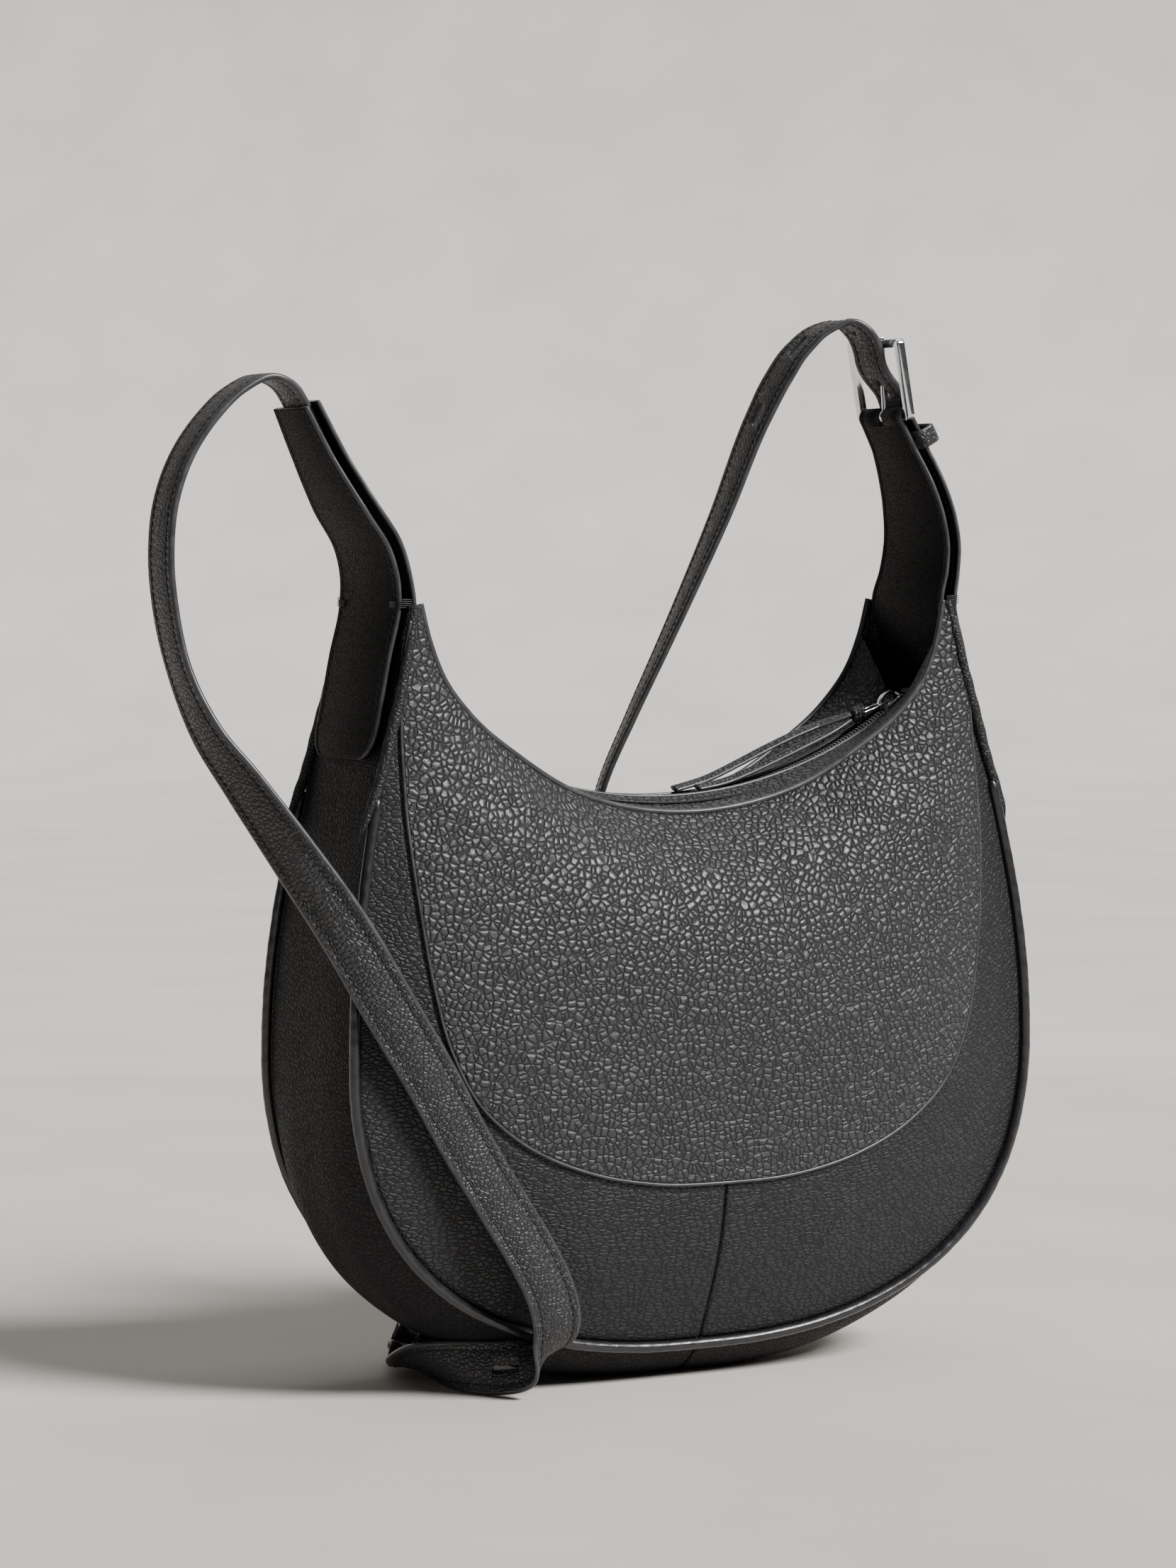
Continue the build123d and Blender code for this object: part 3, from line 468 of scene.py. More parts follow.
def plaster(name, colour, scale):
    """Pale mottled studio surface."""
    material, nodes, links, shader, place = new_material(name, colour, 0.85)
    links.new(ramp(nodes, links, noise(nodes, links, place, scale, 6),
                   [(0.3, tuple(c * 0.93 for c in colour)), (0.7, tuple(min(c * 1.04, 1) for c in colour))], True),
              shader.inputs["Base Color"])
    return material


PEBBLED = leather("pebbled_leather", (0.018, 0.0185, 0.022), 0.4, 2.9, 0.68, 0.8, shine=0.62)
BAND = leather("band_leather", (0.010, 0.0102, 0.012), 0.42, 2.1, 0.36, 0.6, stretch=(0.65, 1, 1.2), shine=0.4)
# Gusset colour far darker than the panel leather: painted shade for the side that faces away from the light.
GUSSET = leather("gusset_leather", (0.005, 0.005, 0.006), 0.5, 1.9, 0.26, shine=0.22)
STRAP = leather("strap_leather", (0.017, 0.0175, 0.02), 0.38, 1.9, 0.42, 0.7, shine=0.6)
# Tab colour far darker than the panel leather: painted shade for the faces that turn away from the light.
TAB = leather("tab_leather", (0.0045, 0.0045, 0.005), 0.6, 1.4, 0.12, shine=0.2)
EDGE = smooth_leather("edge_paint", (0.034, 0.034, 0.038), 0.34)
PIPING = smooth_leather("piping_leather", (0.011, 0.011, 0.013), 0.3, 0.08, 0.25)
THREAD = smooth_leather("thread", (0.004, 0.004, 0.0045), 0.6, 0.12)
LINING = woven("lining_cloth", (0.07, 0.066, 0.06), 0.9)
TAPE = woven("zip_tape_cloth", (0.014, 0.014, 0.015), 0.7)
CHROME = metal("chrome", (0.78, 0.78, 0.8), 0.08)
TEETH = metal("zip_metal", (0.42, 0.42, 0.44), 0.25)
BOARD = plaster("board_plastic", (0.06, 0.06, 0.06), 300)


# ---------------------------------------------------------------- body
def rows_between(low, high, fractions):
    """Grid points (x, z) between two lines, one row for each fraction."""
    f = np.asarray(fractions)[:, None, None]
    return low[None, :, :2] * (1 - f) + high[None, :, :2] * f


def centre_panel(side, label):
    """The large panel inside the seam, its turned edge lying on the bands."""
    low, high = SEAM_LINE, RIM_LINE
    reach = np.linalg.norm(high[:, :2] - low[:, :2], axis=1)
    steps = np.array([0, 0.02, 0.35, 0.8, 1.4, 2.2, 3.4])
    even = np.linspace(0, 1, 110)[1:]
    rows, lifts = [], []
    for k, step in enumerate(steps):
        share = np.minimum(step / reach, 0.04 * k)[:, None]
        rows.append(low[:, :2] * (1 - share) + high[:, :2] * share)
        lifts.append(np.full(len(low), [-0.6, 0.2, 0.85, 1.1, 1.2, 1.15, 1.05][k]))
    first = np.minimum(steps[-1] / reach, 0.24)
    for f in even:
        share = (first + (1 - first) * f)[:, None]
        rows.append(low[:, :2] * (1 - share) + high[:, :2] * share)
        lifts.append(np.full(len(low), 1.0 * (1 - f) ** 0.5))
    flat, lift = np.stack(rows), np.stack(lifts)
    grid = front_point(flat[..., 0], flat[..., 1], lift, side)
    leather_sheet(f"{label}_centre_panel_leather", grid, PEBBLED, [f"{label}_centre_panel"],
                  outward=(0, side, 0))


def band(side, label):
    """The lower band in two halves, sewn at the centre and turned in at the piping."""
    low, high = PIPING_LINE, SEAM_LINE
    reach = np.linalg.norm(high[:, :2] - low[:, :2], axis=1)
    fractions = np.r_[-0.012, 0, 0.006, 0.014, 0.024, 0.04, np.linspace(0.06, 0.94, 60), 0.96, 0.98, 1.0, 1.012]
    flat = rows_between(low, high, fractions)
    from_piping = fractions[:, None] * reach[None]
    from_seam = (1 - fractions)[:, None] * reach[None]
    tuck = 2.2 * np.clip((250 - low[None, :, 1]) / 15, 0, 1)
    lift = -tuck * np.exp(-(from_piping / 1.8) ** 2) - 0.35 * np.exp(-((from_seam - 2.6) / 0.7) ** 2)
    lift = lift - 0.5 * (from_seam < 0.4)
    grid = front_point(flat[..., 0], flat[..., 1], lift, side)
    middle = grid.shape[1] // 2
    for hand, part in (("left", grid[:, :middle]), ("right", grid[:, middle:])):
        seam = np.exp(-(np.abs(part[..., 0]) / 1.1) ** 2)
        part = part.copy()
        part[..., 1] -= side * 0.9 * seam
        part[..., 0] = np.where(np.abs(part[..., 0]) < 1.2, part[..., 0] * 0.3, part[..., 0])
        leather_sheet(f"{label}_band_{hand}_leather", part, BAND, [f"{label}_band_{hand}"],
                      outward=(0, side, 0))


def seam_track(line, offset, lift, side, first, last):
    """A track along a panel line, moved outward in the panel and lifted off it."""
    flat = line[first:last, :2]
    heading = np.gradient(flat, axis=0)
    heading /= np.linalg.norm(heading, axis=1, keepdims=True)
    flat = flat + np.stack([heading[:, 1], -heading[:, 0]], axis=1) * offset
    track = front_point(flat[:, 0], flat[:, 1], lift, side)
    step = 0.5
    dx = (panel_depth(flat[:, 0] + step, flat[:, 1]) - panel_depth(flat[:, 0] - step, flat[:, 1])) / (2 * step)
    dz = (panel_depth(flat[:, 0], flat[:, 1] + step) - panel_depth(flat[:, 0], flat[:, 1] - step)) / (2 * step)
    normal = np.stack([-dx, np.full(len(dx), float(side)), -dz], axis=1)
    return track, normal / np.linalg.norm(normal, axis=1, keepdims=True)


def trims(side, label):
    """Raised edge of the centre panel, its stitches, the piping and the rim binding."""
    edge, _ = seam_track(SEAM_LINE, 0.25, 0.55, side, 6, -6)
    tube(f"{label}_panel_edge", edge, 0.75, EDGE, [f"{label}_panel_edging"], 10)
    track = seam_track(SEAM_LINE, 2.6, -0.2, side, 30, -30)
    stitches(f"{label}_panel_stitches", [track])
    keep = PIPING_LINE[:, 1] < PIPING_TOP
    line = PIPING_LINE[keep]
    along = np.linspace(0, 1, len(line))
    radius = PIPING_RADIUS * np.sqrt(np.clip(1 - np.clip((0.008 - np.minimum(along, 1 - along)) / 0.008, 0, 1) ** 2,
                                             0.02, 1))
    swell = 0.08 * np.sin(np.arange(len(line)) * 0.9) * np.sin(np.arange(len(line)) * 0.37)
    heading = np.gradient(line[:, :2], axis=0)
    heading /= np.linalg.norm(heading, axis=1, keepdims=True)
    path = np.stack([line[:, 0] + 0.9 * heading[:, 1], side * (line[:, 2] + 0.8), line[:, 1] - 0.9 * heading[:, 0]],
                    axis=1)
    tube(f"{label}_piping_cord", path, radius + swell, PIPING, [f"{label}_piping"], 16)
    rim = np.stack([RIM_LINE[:, 0], side * (RIM_LINE[:, 2] - 0.3), RIM_LINE[:, 1] + 0.4], axis=1)
    tube(f"{label}_rim_edge", rim, 1.15, EDGE, [f"{label}_rim_binding"], 12)


GUSSET_LINE = curve(mirrored(GUSSET_EDGE), 600)


def gusset_grid(inset=0.0, across=61):
    """The gusset's surface, from the front piping round to the back."""
    s = np.linspace(-1.02, 1.02, across)
    crown = 1 - np.clip((np.abs(s) - 0.25) / 0.75, 0, 1) ** 2.2
    low = PIPING_LINE[None, :, :2]
    out = GUSSET_LINE[None] - low
    flat = low + out * crown[:, None, None]
    heading = np.gradient(PIPING_LINE[:, :2], axis=0)
    heading /= np.linalg.norm(heading, axis=1, keepdims=True)
    inward = np.stack([-heading[:, 1], heading[:, 0]], axis=1)
    flat = flat + inward[None] * inset
    y = s[:, None] * (PIPING_LINE[None, :, 2] - inset)
    x, z = flat[..., 0], flat[..., 1]
    ripple = 0.5 * np.sin(z / 9 + 2 * s[:, None]) * np.exp(-((z - 235) / 30) ** 2) * (1 - s[:, None] ** 2)
    x = x + np.sign(x) * (ripple - 0.4)
    return np.stack([x, np.broadcast_to(y, x.shape), np.maximum(z, 0.0 + inset)], axis=-1)


def gusset():
    grid = gusset_grid()
    middle = grid.shape[1] // 2
    for hand, part in (("left", grid[:, :middle]), ("right", grid[:, middle:])):
        part = part.copy()
        seam = np.exp(-(np.abs(part[..., 0]) / 1.1) ** 2)
        part[..., 2] += 0.7 * seam
        leather_sheet(f"gusset_{hand}_leather", part, GUSSET, [f"gusset_{hand}"],
                      outward=(-1 if hand == "left" else 1, 0, 0))
    for name, hand in (("left", -1), ("right", 1)):
        for label, side in (("front", FRONT), ("back", BACK)):
            fold = curve(joined(FOLD, FOLD_DEPTH), 90)
            path = np.stack([hand * (fold[:, 0] - 0.6), side * (fold[:, 2] - 0.2), fold[:, 1]], axis=1)
            fade = np.linspace(0, 1, 90)
            radius = 1.5 + 0.9 * np.sin(pi * fade) - 1.9 * np.clip((fade - 0.8) / 0.2, 0, 1)
            radius = radius + 0.12 * np.sin(fade * 60)
            # The fold is gusset leather, given the paler band leather: painted highlight along the fold.
            tube(f"{label}_shoulder_fold_{name}", path, radius, BAND)


def lining():
    """The hanging cloth lining: two faces and the strip between them."""
    verts, faces = [], []
    # the third number only spaces the points along the line
    inner_rim = curve([(-132, 226, 34), (-60, 226, 40), (0, 226, 37), (60, 226, 40), (132, 226, 34)], 600)
    for side in (FRONT, BACK):
        low = PIPING_LINE.copy()
        keep = low[:, 1] < 224
        low = resampled(low[keep], 200)
        middle = np.array([0.0, 120.0])
        rim = np.stack([np.interp(np.linspace(0, 1, 200), np.linspace(0, 1, 600), inner_rim[:, k]) for k in range(2)],
                       axis=1)
        low = low[:, :2] + (middle - low[:, :2]) * 0.035
        f = np.linspace(0, 1, 40)[:, None, None]
        flat = low[None] * (1 - f) + rim[None] * f
        grid = front_point(flat[..., 0], flat[..., 1], -3.6, side)
        faces += grid_faces(40, 200, start=len(verts))
        verts += list(grid.reshape(-1, 3))
    strip = gusset_grid(3.6, 25)
    strip = strip[:, PIPING_LINE[:, 1] < 224]
    faces += grid_faces(25, strip.shape[1], start=len(verts))
    verts += list(strip.reshape(-1, 3))
    mesh_piece("lining_cloth", verts, faces, [LINING], stands_for=["lining"])
    x, z = np.meshgrid(np.linspace(-60, 60, 50), np.linspace(85, 165, 34))
    corner = np.clip((np.abs(x) - 52) / 8, 0, 1) ** 2 + np.clip((90 - z) / 8, 0, 1) ** 2
    y = 49.2 - 0.8 * np.exp(-((z - 160) / 6) ** 2) - 1.2 * (1 - (x / 60) ** 2) + 0.4 * corner
    leather_sheet("inner_pocket_cloth", np.stack([x, y, z], axis=-1), LINING, ["inner_pocket"],
                  0.8, outward=(0, -1, 0))


# ---------------------------------------------------------------- zip
def zip_arc(degrees_out, radius=ZIP_RADIUS):
    a = radians(degrees_out)
    return radius * sin(a), ZIP_CENTRE_Z - radius * cos(a)


def zip_top():
    """Facings with their turned edges, tapes and teeth."""
    angles = np.linspace(-ZIP_HALF_ANGLE + 1.0, ZIP_HALF_ANGLE - 1.0, 240)
    arc = np.array([zip_arc(a, ZIP_RADIUS - 0.6) for a in angles])
    limit = arc[-1, 0]
    for label, side in (("front", FRONT), ("back", BACK)):
        rim_x = RIM_LINE[:, 0]
        outer_z = np.interp(arc[:, 0], rim_x, RIM_LINE[:, 1])
        outer_y = np.interp(arc[:, 0], rim_x, RIM_LINE[:, 2]) - 0.6
        rows = []
        for f in np.linspace(0, 1, 26):
            sag = 1.0 * sin(pi * f) * (1 - (arc[:, 0] / limit) ** 2)
            y = side * (outer_y * (1 - f) + FACING_NEAR * f)
            z = outer_z * (1 - f) + (arc[:, 1] + 1.2) * f - sag
            rows.append(np.stack([arc[:, 0], y, z], axis=1))
        grid = np.stack(rows)
        leather_sheet(f"{label}_facing_leather", grid, PEBBLED, [f"{label}_zip_facing"], 1.2,
                      outward=(0, 0, 1))
        edge = grid[-1] + np.array([0, 0, -0.1])
        tube(f"{label}_facing_edge", edge, 0.8, EDGE)
        row = grid[21] + np.array([0, 0, 0.1])
        stitches(f"{label}_facing_stitches", [(row, np.tile([0, 0, 1.0], (len(row), 1)))])
        tape = np.stack([np.stack([arc[:, 0], np.full(240, side * y), arc[:, 1] - 0.9], axis=1)
                         for y in np.linspace(3.0, 13.5, 12)])
        leather_sheet(f"{label}_tape_cloth", tape, TAPE, [f"{label}_zip_tape"], 0.5, outward=(0, 0, 1))
        verts, faces = [], []
        count = 165
        for k in range(count):
            a = -ZIP_HALF_ANGLE + (k + (0.25 if side > 0 else 0.75)) * 2 * ZIP_HALF_ANGLE / count
            start = len(verts)
            for da, shape in ((-0.11, 0.8), (-0.08, 1.0), (0.08, 1.0), (0.11, 0.8)):
                for y, r in ((0.3, 0.7), (0.7, 1.1), (3.2, 1.1), (3.4, 0.8), (3.4, -0.8), (3.2, -1.1), (0.7, -1.1),
                             (0.3, -0.7)):
                    x, z = zip_arc(a + da, ZIP_RADIUS - r * shape)
                    verts.append((x, side * y, z))
            faces += grid_faces(4, 8, closed=True, start=start)
            faces += [tuple(range(start, start + 8)), tuple(range(start + 24, start + 32))]
        mesh_piece(f"{label}_teeth_row", verts, faces, [TEETH], stands_for=[f"{label}_zip_teeth"],
                   smooth=False)


def bevelled(node, name, width, material, body="bag", segments=3):
    """The node's own shape with rounded edges."""
    piece = bpy.data.objects.new(name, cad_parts[node].data.copy())
    bpy.context.scene.collection.objects.link(piece)
    work = bmesh.new()
    work.from_mesh(piece.data)
    bmesh.ops.remove_doubles(work, verts=work.verts, dist=1e-6)
    bmesh.ops.dissolve_limit(work, angle_limit=radians(1), verts=work.verts, edges=work.edges)
    work.to_mesh(piece.data)
    work.free()
    piece.data.materials.clear()
    piece.data.materials.append(material)
    piece.data.polygons.foreach_set("use_smooth", [True] * len(piece.data.polygons))
    bevel = piece.modifiers.new("rounding", "BEVEL")
    bevel.width = width * MM
    bevel.segments = segments
    bevel.limit_method = "ANGLE"
    bevel.angle_limit = radians(35)
    bevel.harden_normals = True
    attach(piece, body)
    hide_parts(node)
    return piece


# ---------------------------------------------------------------- tabs and strap
def shifted(points, distance):
    """Points moved to the left of their direction of travel."""
    pts = np.asarray(points, float)
    heading = np.gradient(pts, axis=0)
    heading /= np.linalg.norm(heading, axis=1, keepdims=True)
    return pts + distance * np.stack([-heading[:, 1], heading[:, 0]], axis=1)


def tab_width(z, widths, low, corner):
    """Half width against height, with a rounded lower end."""
    heights = [h for h, _ in widths]
    width = np.interp(z, heights, [w for _, w in widths])
    rise = np.clip((z - low) / corner, 0, 1)
    return width - corner * (1 - np.sqrt(1 - (1 - rise) ** 2))


def tab_line(points, shift, count=160):
    flat = curve(shifted(curve(points, 200), shift), count)
    return np.stack([flat[:, 0], np.zeros(count), flat[:, 1]], axis=1)


def edge_stitches(name, line, across, half_width, thickness, margin, faces=(1, -1), body="bag"):
    """Stitches along both edges of a strip, on its faces."""
    _, across, normal = frames_along(line, across)
    tracks = []
    for face in faces:
        for hand in (1, -1):
            track = line + across * (hand * (half_width - margin))[:, None] + normal * face * (thickness / 2 + 0.1)
            tracks.append((track, normal * face))
    return stitches(name, tracks, body)


def tabs():
    along_y = np.tile([0.0, 1.0, 0.0], (160, 1))
    line = tab_line(LEFT_TAB, PLY_MIDDLE)
    width = tab_width(line[:, 2], LEFT_HALF_WIDTH, line[0, 2] - 0.3, 12)
    ribbon("left_tab_outer_leather", line, along_y, width, PLY, TAB, EDGE, ["left_tab_outer"],
           margin=3.2, groove=0.3)
    edge_stitches("left_tab_stitches", line[14:], along_y[14:], width[14:], PLY, 3.2, faces=(1, -1))
    inner = tab_line([(-131.9, 300), (-127.5, 318)] + LEFT_TAB[4:], -PLY_MIDDLE)
    width = tab_width(inner[:, 2], LEFT_HALF_WIDTH, inner[0, 2] - 0.3, 8)
    ribbon("left_tab_inner_leather", inner, along_y, width, PLY, TAB, EDGE, ["left_tab_inner"])

    outer = tab_line(RIGHT_TAB, -PLY_MIDDLE)
    inner = tab_line([(131.9, 300), (127.5, 318)] + RIGHT_TAB[4:], PLY_MIDDLE)
    turn = [(HEEL[0] + 2.8 * cos(t), 0, HEEL[1] + 2.8 * sin(t)) for t in np.linspace(radians(10), radians(190), 24)]
    path = np.vstack([outer[:-3], turn, inner[::-1][3:]])
    path = curve(path[::3], 380)
    top = int(np.argmax(path[:, 2]))
    z = path[:, 2]
    low = np.where(np.arange(len(z)) < top, z[0] - 0.3, z[-1] - 0.3)
    corner = np.where(np.arange(len(z)) < top, 12.0, 8.0)
    width = np.array([tab_width(a, RIGHT_HALF_WIDTH, b, c) for a, b, c in zip(z, low, corner)])
    across = np.tile([0.0, 1.0, 0.0], (380, 1))
    tab = ribbon("right_tab_leather", path, across, width, PLY, TAB, EDGE, ["right_tab"],
                 margin=3.2, groove=0.3)
    cut(tab, [box_mesh((HEEL[0], 0, HEEL[1] + 1.5), (14, 4.2, 11))])
    edge_stitches("right_tab_stitches", outer[14:-12], along_y[14:-12],
                  tab_width(outer[14:-12, 2], RIGHT_HALF_WIDTH, 250, 12), PLY, 3.2)


def box_mesh(centre, size):
    """Vertices and faces of a box, in millimetres."""
    c, s = np.array(centre, float), np.array(size, float) / 2
    verts = [c + s * np.array([i, j, k]) for i in (-1, 1) for j in (-1, 1) for k in (-1, 1)]
    return verts, [(0, 1, 3, 2), (4, 6, 7, 5), (0, 4, 5, 1), (2, 3, 7, 6), (0, 2, 6, 4), (1, 5, 7, 3)]


def cut(piece, cutters):
    """Subtract closed meshes from a piece."""
    verts, faces = [], []
    for cutter_verts, cutter_faces in cutters:
        faces += [tuple(i + len(verts) for i in face) for face in cutter_faces]
        verts += list(cutter_verts)
    mesh = bpy.data.meshes.new("cutter")
    mesh.from_pydata([tuple(v) for v in np.asarray(verts) * MM], [], faces)
    work = bmesh.new()
    work.from_mesh(mesh)
    bmesh.ops.recalc_face_normals(work, faces=work.faces)
    work.to_mesh(mesh)
    work.free()
    mesh.materials.append(EDGE)
    cutter = bpy.data.objects.new("cutter", mesh)
    bpy.context.scene.collection.objects.link(cutter)
    step = piece.modifiers.new("cut", "BOOLEAN")
    step.operation = "DIFFERENCE"
    step.solver = "EXACT"
    step.object = cutter
    bpy.context.view_layer.update()
    graph = bpy.context.evaluated_depsgraph_get()
    result = bpy.data.meshes.new_from_object(piece.evaluated_get(graph))
    piece.modifiers.clear()
    piece.data = result
    bpy.data.objects.remove(cutter)


def by_buckle(up, out):
    """A point in the buckle's middle plane, up from the heel bar and out from the frame."""
    x = HEEL[0] - up * sin(BUCKLE_LEAN) + out * cos(BUCKLE_LEAN)
    return (x, 0, HEEL[1] + up * cos(BUCKLE_LEAN) + out * sin(BUCKLE_LEAN))


def outside_tab(index):
    """A point of the strap's tail, lying on the outer ply of the right tab."""
    x, z = shifted(RIGHT_TAB, -(PLY_MIDDLE + PLY / 2 + 0.9 + STRAP_THICK / 2))[index]
    return (x, 0, z)


# The strap's middle line and the direction of its width, from the left tab round to its tail
LEVEL = (0, -1, 0)
STATIONS = [
    ((-147.3, 0, 366), LEVEL), ((-153, 0, 376), LEVEL), ((-163.5, 0, 397), LEVEL),
    ((-169, 0, 404.5), LEVEL), ((-177, 0, 407.8), LEVEL), ((-190, 0, 402.7), LEVEL),
    ((-201.6, 0, 392.4), LEVEL), ((-212.8, 0, 377), LEVEL), ((-220.5, -1, 358), LEVEL),
    ((-223, -2, 338), LEVEL), ((-222, -4, 316), LEVEL), ((-218, -9, 291), LEVEL),
    ((-210.5, -17, 268), (0.15, -0.98, 0.1)), ((-199, -26, 248), (0.35, -0.9, 0.25)),
    ((-182, -36, 220), (0.55, -0.75, 0.35)), ((-165, -45, 191.5), (0.7, -0.55, 0.42)),
    ((-148.5, -51, 161), (0.8, -0.35, 0.45)), ((-132, -53.5, 133), (0.85, -0.18, 0.5)),
    ((-117, -55, 106), (0.87, -0.08, 0.49)), ((-102.5, -57, 82), (0.88, 0, 0.46)),
    ((-89, -58, 60.5), (0.9, 0, 0.42)), ((-80, -57.5, 44), (0.93, 0, 0.36)),
    ((-75, -55, 30), (0.95, -0.05, 0.3)), ((-73, -50, 19), (0.93, -0.05, 0.35)),
    ((-76.5, -45.5, 13.5), (0.78, -0.1, 0.6)), ((-81, -39, 11.6), (0.42, 0, 0.91)),
    ((-88, -34.5, 11.3), (0.16, 0.1, 0.97)), ((-96.5, -30.5, 11.0), (-0.1, 0, 0.99)),
    ((-103, -24, 10.7), (-0.26, 0, 0.96)), ((-107, -14.5, 10.3), (-0.38, 0, 0.92)),
    ((-108.5, -4, 9.4), (-0.56, 0, 0.83)), ((-107.5, 7, 7.6), (-0.78, -0.1, 0.6)),
    ((-104, 19, 5.6), (-0.93, -0.15, 0.3)), ((-96, 32, 3.4), (-0.96, -0.28, 0.08)),
    ((-88, 48, 2.4), (-0.87, -0.5, 0)), ((-76, 62, 2.5), (-0.65, -0.76, 0)),
    ((-60, 71.5, 1.9), (-0.4, -0.92, 0)), ((-42, 76.5, 2.4), (-0.2, -0.98, 0)),
    ((-26, 79, 8), (-0.1, -0.99, 0)), ((-14, 80.5, 22), (-0.1, -0.99, 0)),
    ((-7, 81, 42), (-0.2, -0.98, 0)), ((-3, 81, 70), (-0.3, -0.95, 0)), ((-1, 80, 105), (-0.35, -0.93, 0)),
    ((0.5, 78, 145), (-0.38, -0.92, 0)), ((4, 70, 195), (-0.4, -0.91, 0)), ((10, 60, 242), (-0.4, -0.91, 0)),
    ((20, 55, 268), (-0.36, -0.93, 0)), ((34.5, 46.5, 305), (-0.28, -0.96, 0)), ((52, 34, 354.5), (-0.15, -0.98, 0)),
    ((63.5, 22, 395.5), (-0.05, -1, 0)), ((69, 16, 411), LEVEL), ((76, 10.5, 424), LEVEL),
    ((85, 6, 432.5), LEVEL), ((94, 2.5, 435), LEVEL),
    *((by_buckle(up, out), LEVEL) for up, out in ((35.5, -6.2), (29.5, -4.1), (22, -3.4), (17.5, -1.5), (13.3, 1.3),
                                                  (9, 4), (4, 5.3))),
    *((outside_tab(index), LEVEL) for index in (9, 8, 7, 6, 5, 4)),
]
HOLE_STATIONS = (26, 49, 51, 53, 58)
HOLE_LENGTH, HOLE_WIDTH = 11.0, 3.4
CLOSED_SLOT_WIDTH = 1.5  # the slot at the floor is pressed nearly shut
STRAP_SAMPLES = 620
WIDTH_WEIGHT = 40  # how much the width's direction counts beside the points, in millimetres
FLOOR_FOLD_STATION = 25
FLOOR_CLEARANCE = 0.6
TIP_LENGTH = 9.0


def slot_cutter(centre, along, wide, through, width=HOLE_WIDTH):
    """A rounded slot standing through the strap."""
    ring = []
    for k in range(24):
        t = 2 * pi * k / 24
        push = (HOLE_LENGTH - width) / 2 * (1 if cos(t) > 0 else -1)
        ring.append((push + width / 2 * cos(t), width / 2 * sin(t)))
    verts = [centre + along * a + wide * b + through * 6 * s for s in (-1, 1) for a, b in ring]
    faces = grid_faces(2, 24, closed=True) + [tuple(range(24)), tuple(range(24, 48))]
    return verts, faces


def strap():
    packed = np.array([(*p, *(WIDTH_WEIGHT * np.array(w, float) / np.linalg.norm(w))) for p, w in STATIONS])
    count = STRAP_SAMPLES
    smooth = curve(packed, count)
    run = np.r_[0, np.cumsum(np.linalg.norm(np.diff(smooth[:, :3], axis=0), axis=1))]
    even = np.linspace(0, run[-1], count)
    smooth = np.stack([np.interp(even, run, smooth[:, k]) for k in range(6)], axis=1)
    # an even bend where the strap folds over at the floor
    fold = int(np.argmin(np.linalg.norm(smooth[:, :3] - packed[FLOOR_FOLD_STATION, :3], axis=1)))
    near = np.exp(-((np.arange(count) - fold - 4) / 22) ** 2)[:, None]
    for _ in range(3):
        even_bend = np.stack([running_mean(smooth[:, k], 6) for k in range(6)], axis=1)
        smooth = smooth * (1 - near) + even_bend * near
    line, across = smooth[:, :3], smooth[:, 3:]
    # and no part of it under the floor
    for _ in range(6):
        _, wide, normal = frames_along(line, across)
        lowest = line[:, 2] - np.abs(wide[:, 2]) * STRAP_WIDTH / 2 - np.abs(normal[:, 2]) * STRAP_THICK / 2
        line[:, 2] += running_mean(np.maximum(FLOOR_CLEARANCE - lowest, 0), 4)
    end = np.minimum(np.arange(count)[::-1] * run[-1] / (count - 1), TIP_LENGTH) / TIP_LENGTH
    width = STRAP_WIDTH / 2 * (0.35 + 0.65 * np.sqrt(np.clip(1 - (1 - end) ** 2, 0, 1)))
    piece = ribbon("shoulder_strap_leather", line, across, width, STRAP_THICK, STRAP, EDGE,
                   ["shoulder_strap"], crown=0.1, groove=0.4)
    heading, wide, normal = frames_along(line, across)
    cutters = []
    for station in HOLE_STATIONS:
        i = int(np.argmin(np.linalg.norm(line - packed[station, :3], axis=1)))
        width_here = CLOSED_SLOT_WIDTH if station == HOLE_STATIONS[0] else HOLE_WIDTH
        cutters.append(slot_cutter(line[i], heading[i], wide[i], normal[i], width_here))
    cut(piece, cutters)
    edge_stitches("strap_stitches", line[30:-8], across[30:-8], width[30:-8], STRAP_THICK, 3.9)


def keeper():
    """The leather loop below the buckle."""
    low, high = np.array([121.0, 0, 382.0]), np.array([117.2, 0, 389.0])
    axis = (high - low) / np.linalg.norm(high - low)
    out = np.array([axis[2], 0, -axis[0]])
    near, far, side = 0.8, 8.3, 18.8
    corner = 1.6
    ring = []
    for cx, cy, first in ((far - corner, side - corner, 0), (near + corner, side - corner, 90),
                          (near + corner, corner - side, 180), (far - corner, corner - side, 270)):
        for t in np.radians(np.linspace(first, first + 90, 9)):
            ring.append((cx + corner * cos(t), cy + corner * sin(t)))
    middle = (low + high) / 2
    line = np.array([middle + out * a + np.array([0, b, 0]) for a, b in ring])
    line = resampled(np.vstack([line, line[:1]]), 97)[:-1]
    ribbon("strap_keeper_leather", line, np.tile(axis, (len(line), 1)), 4.0, 1.6, STRAP, EDGE,
           ["strap_keeper"], closed=True)


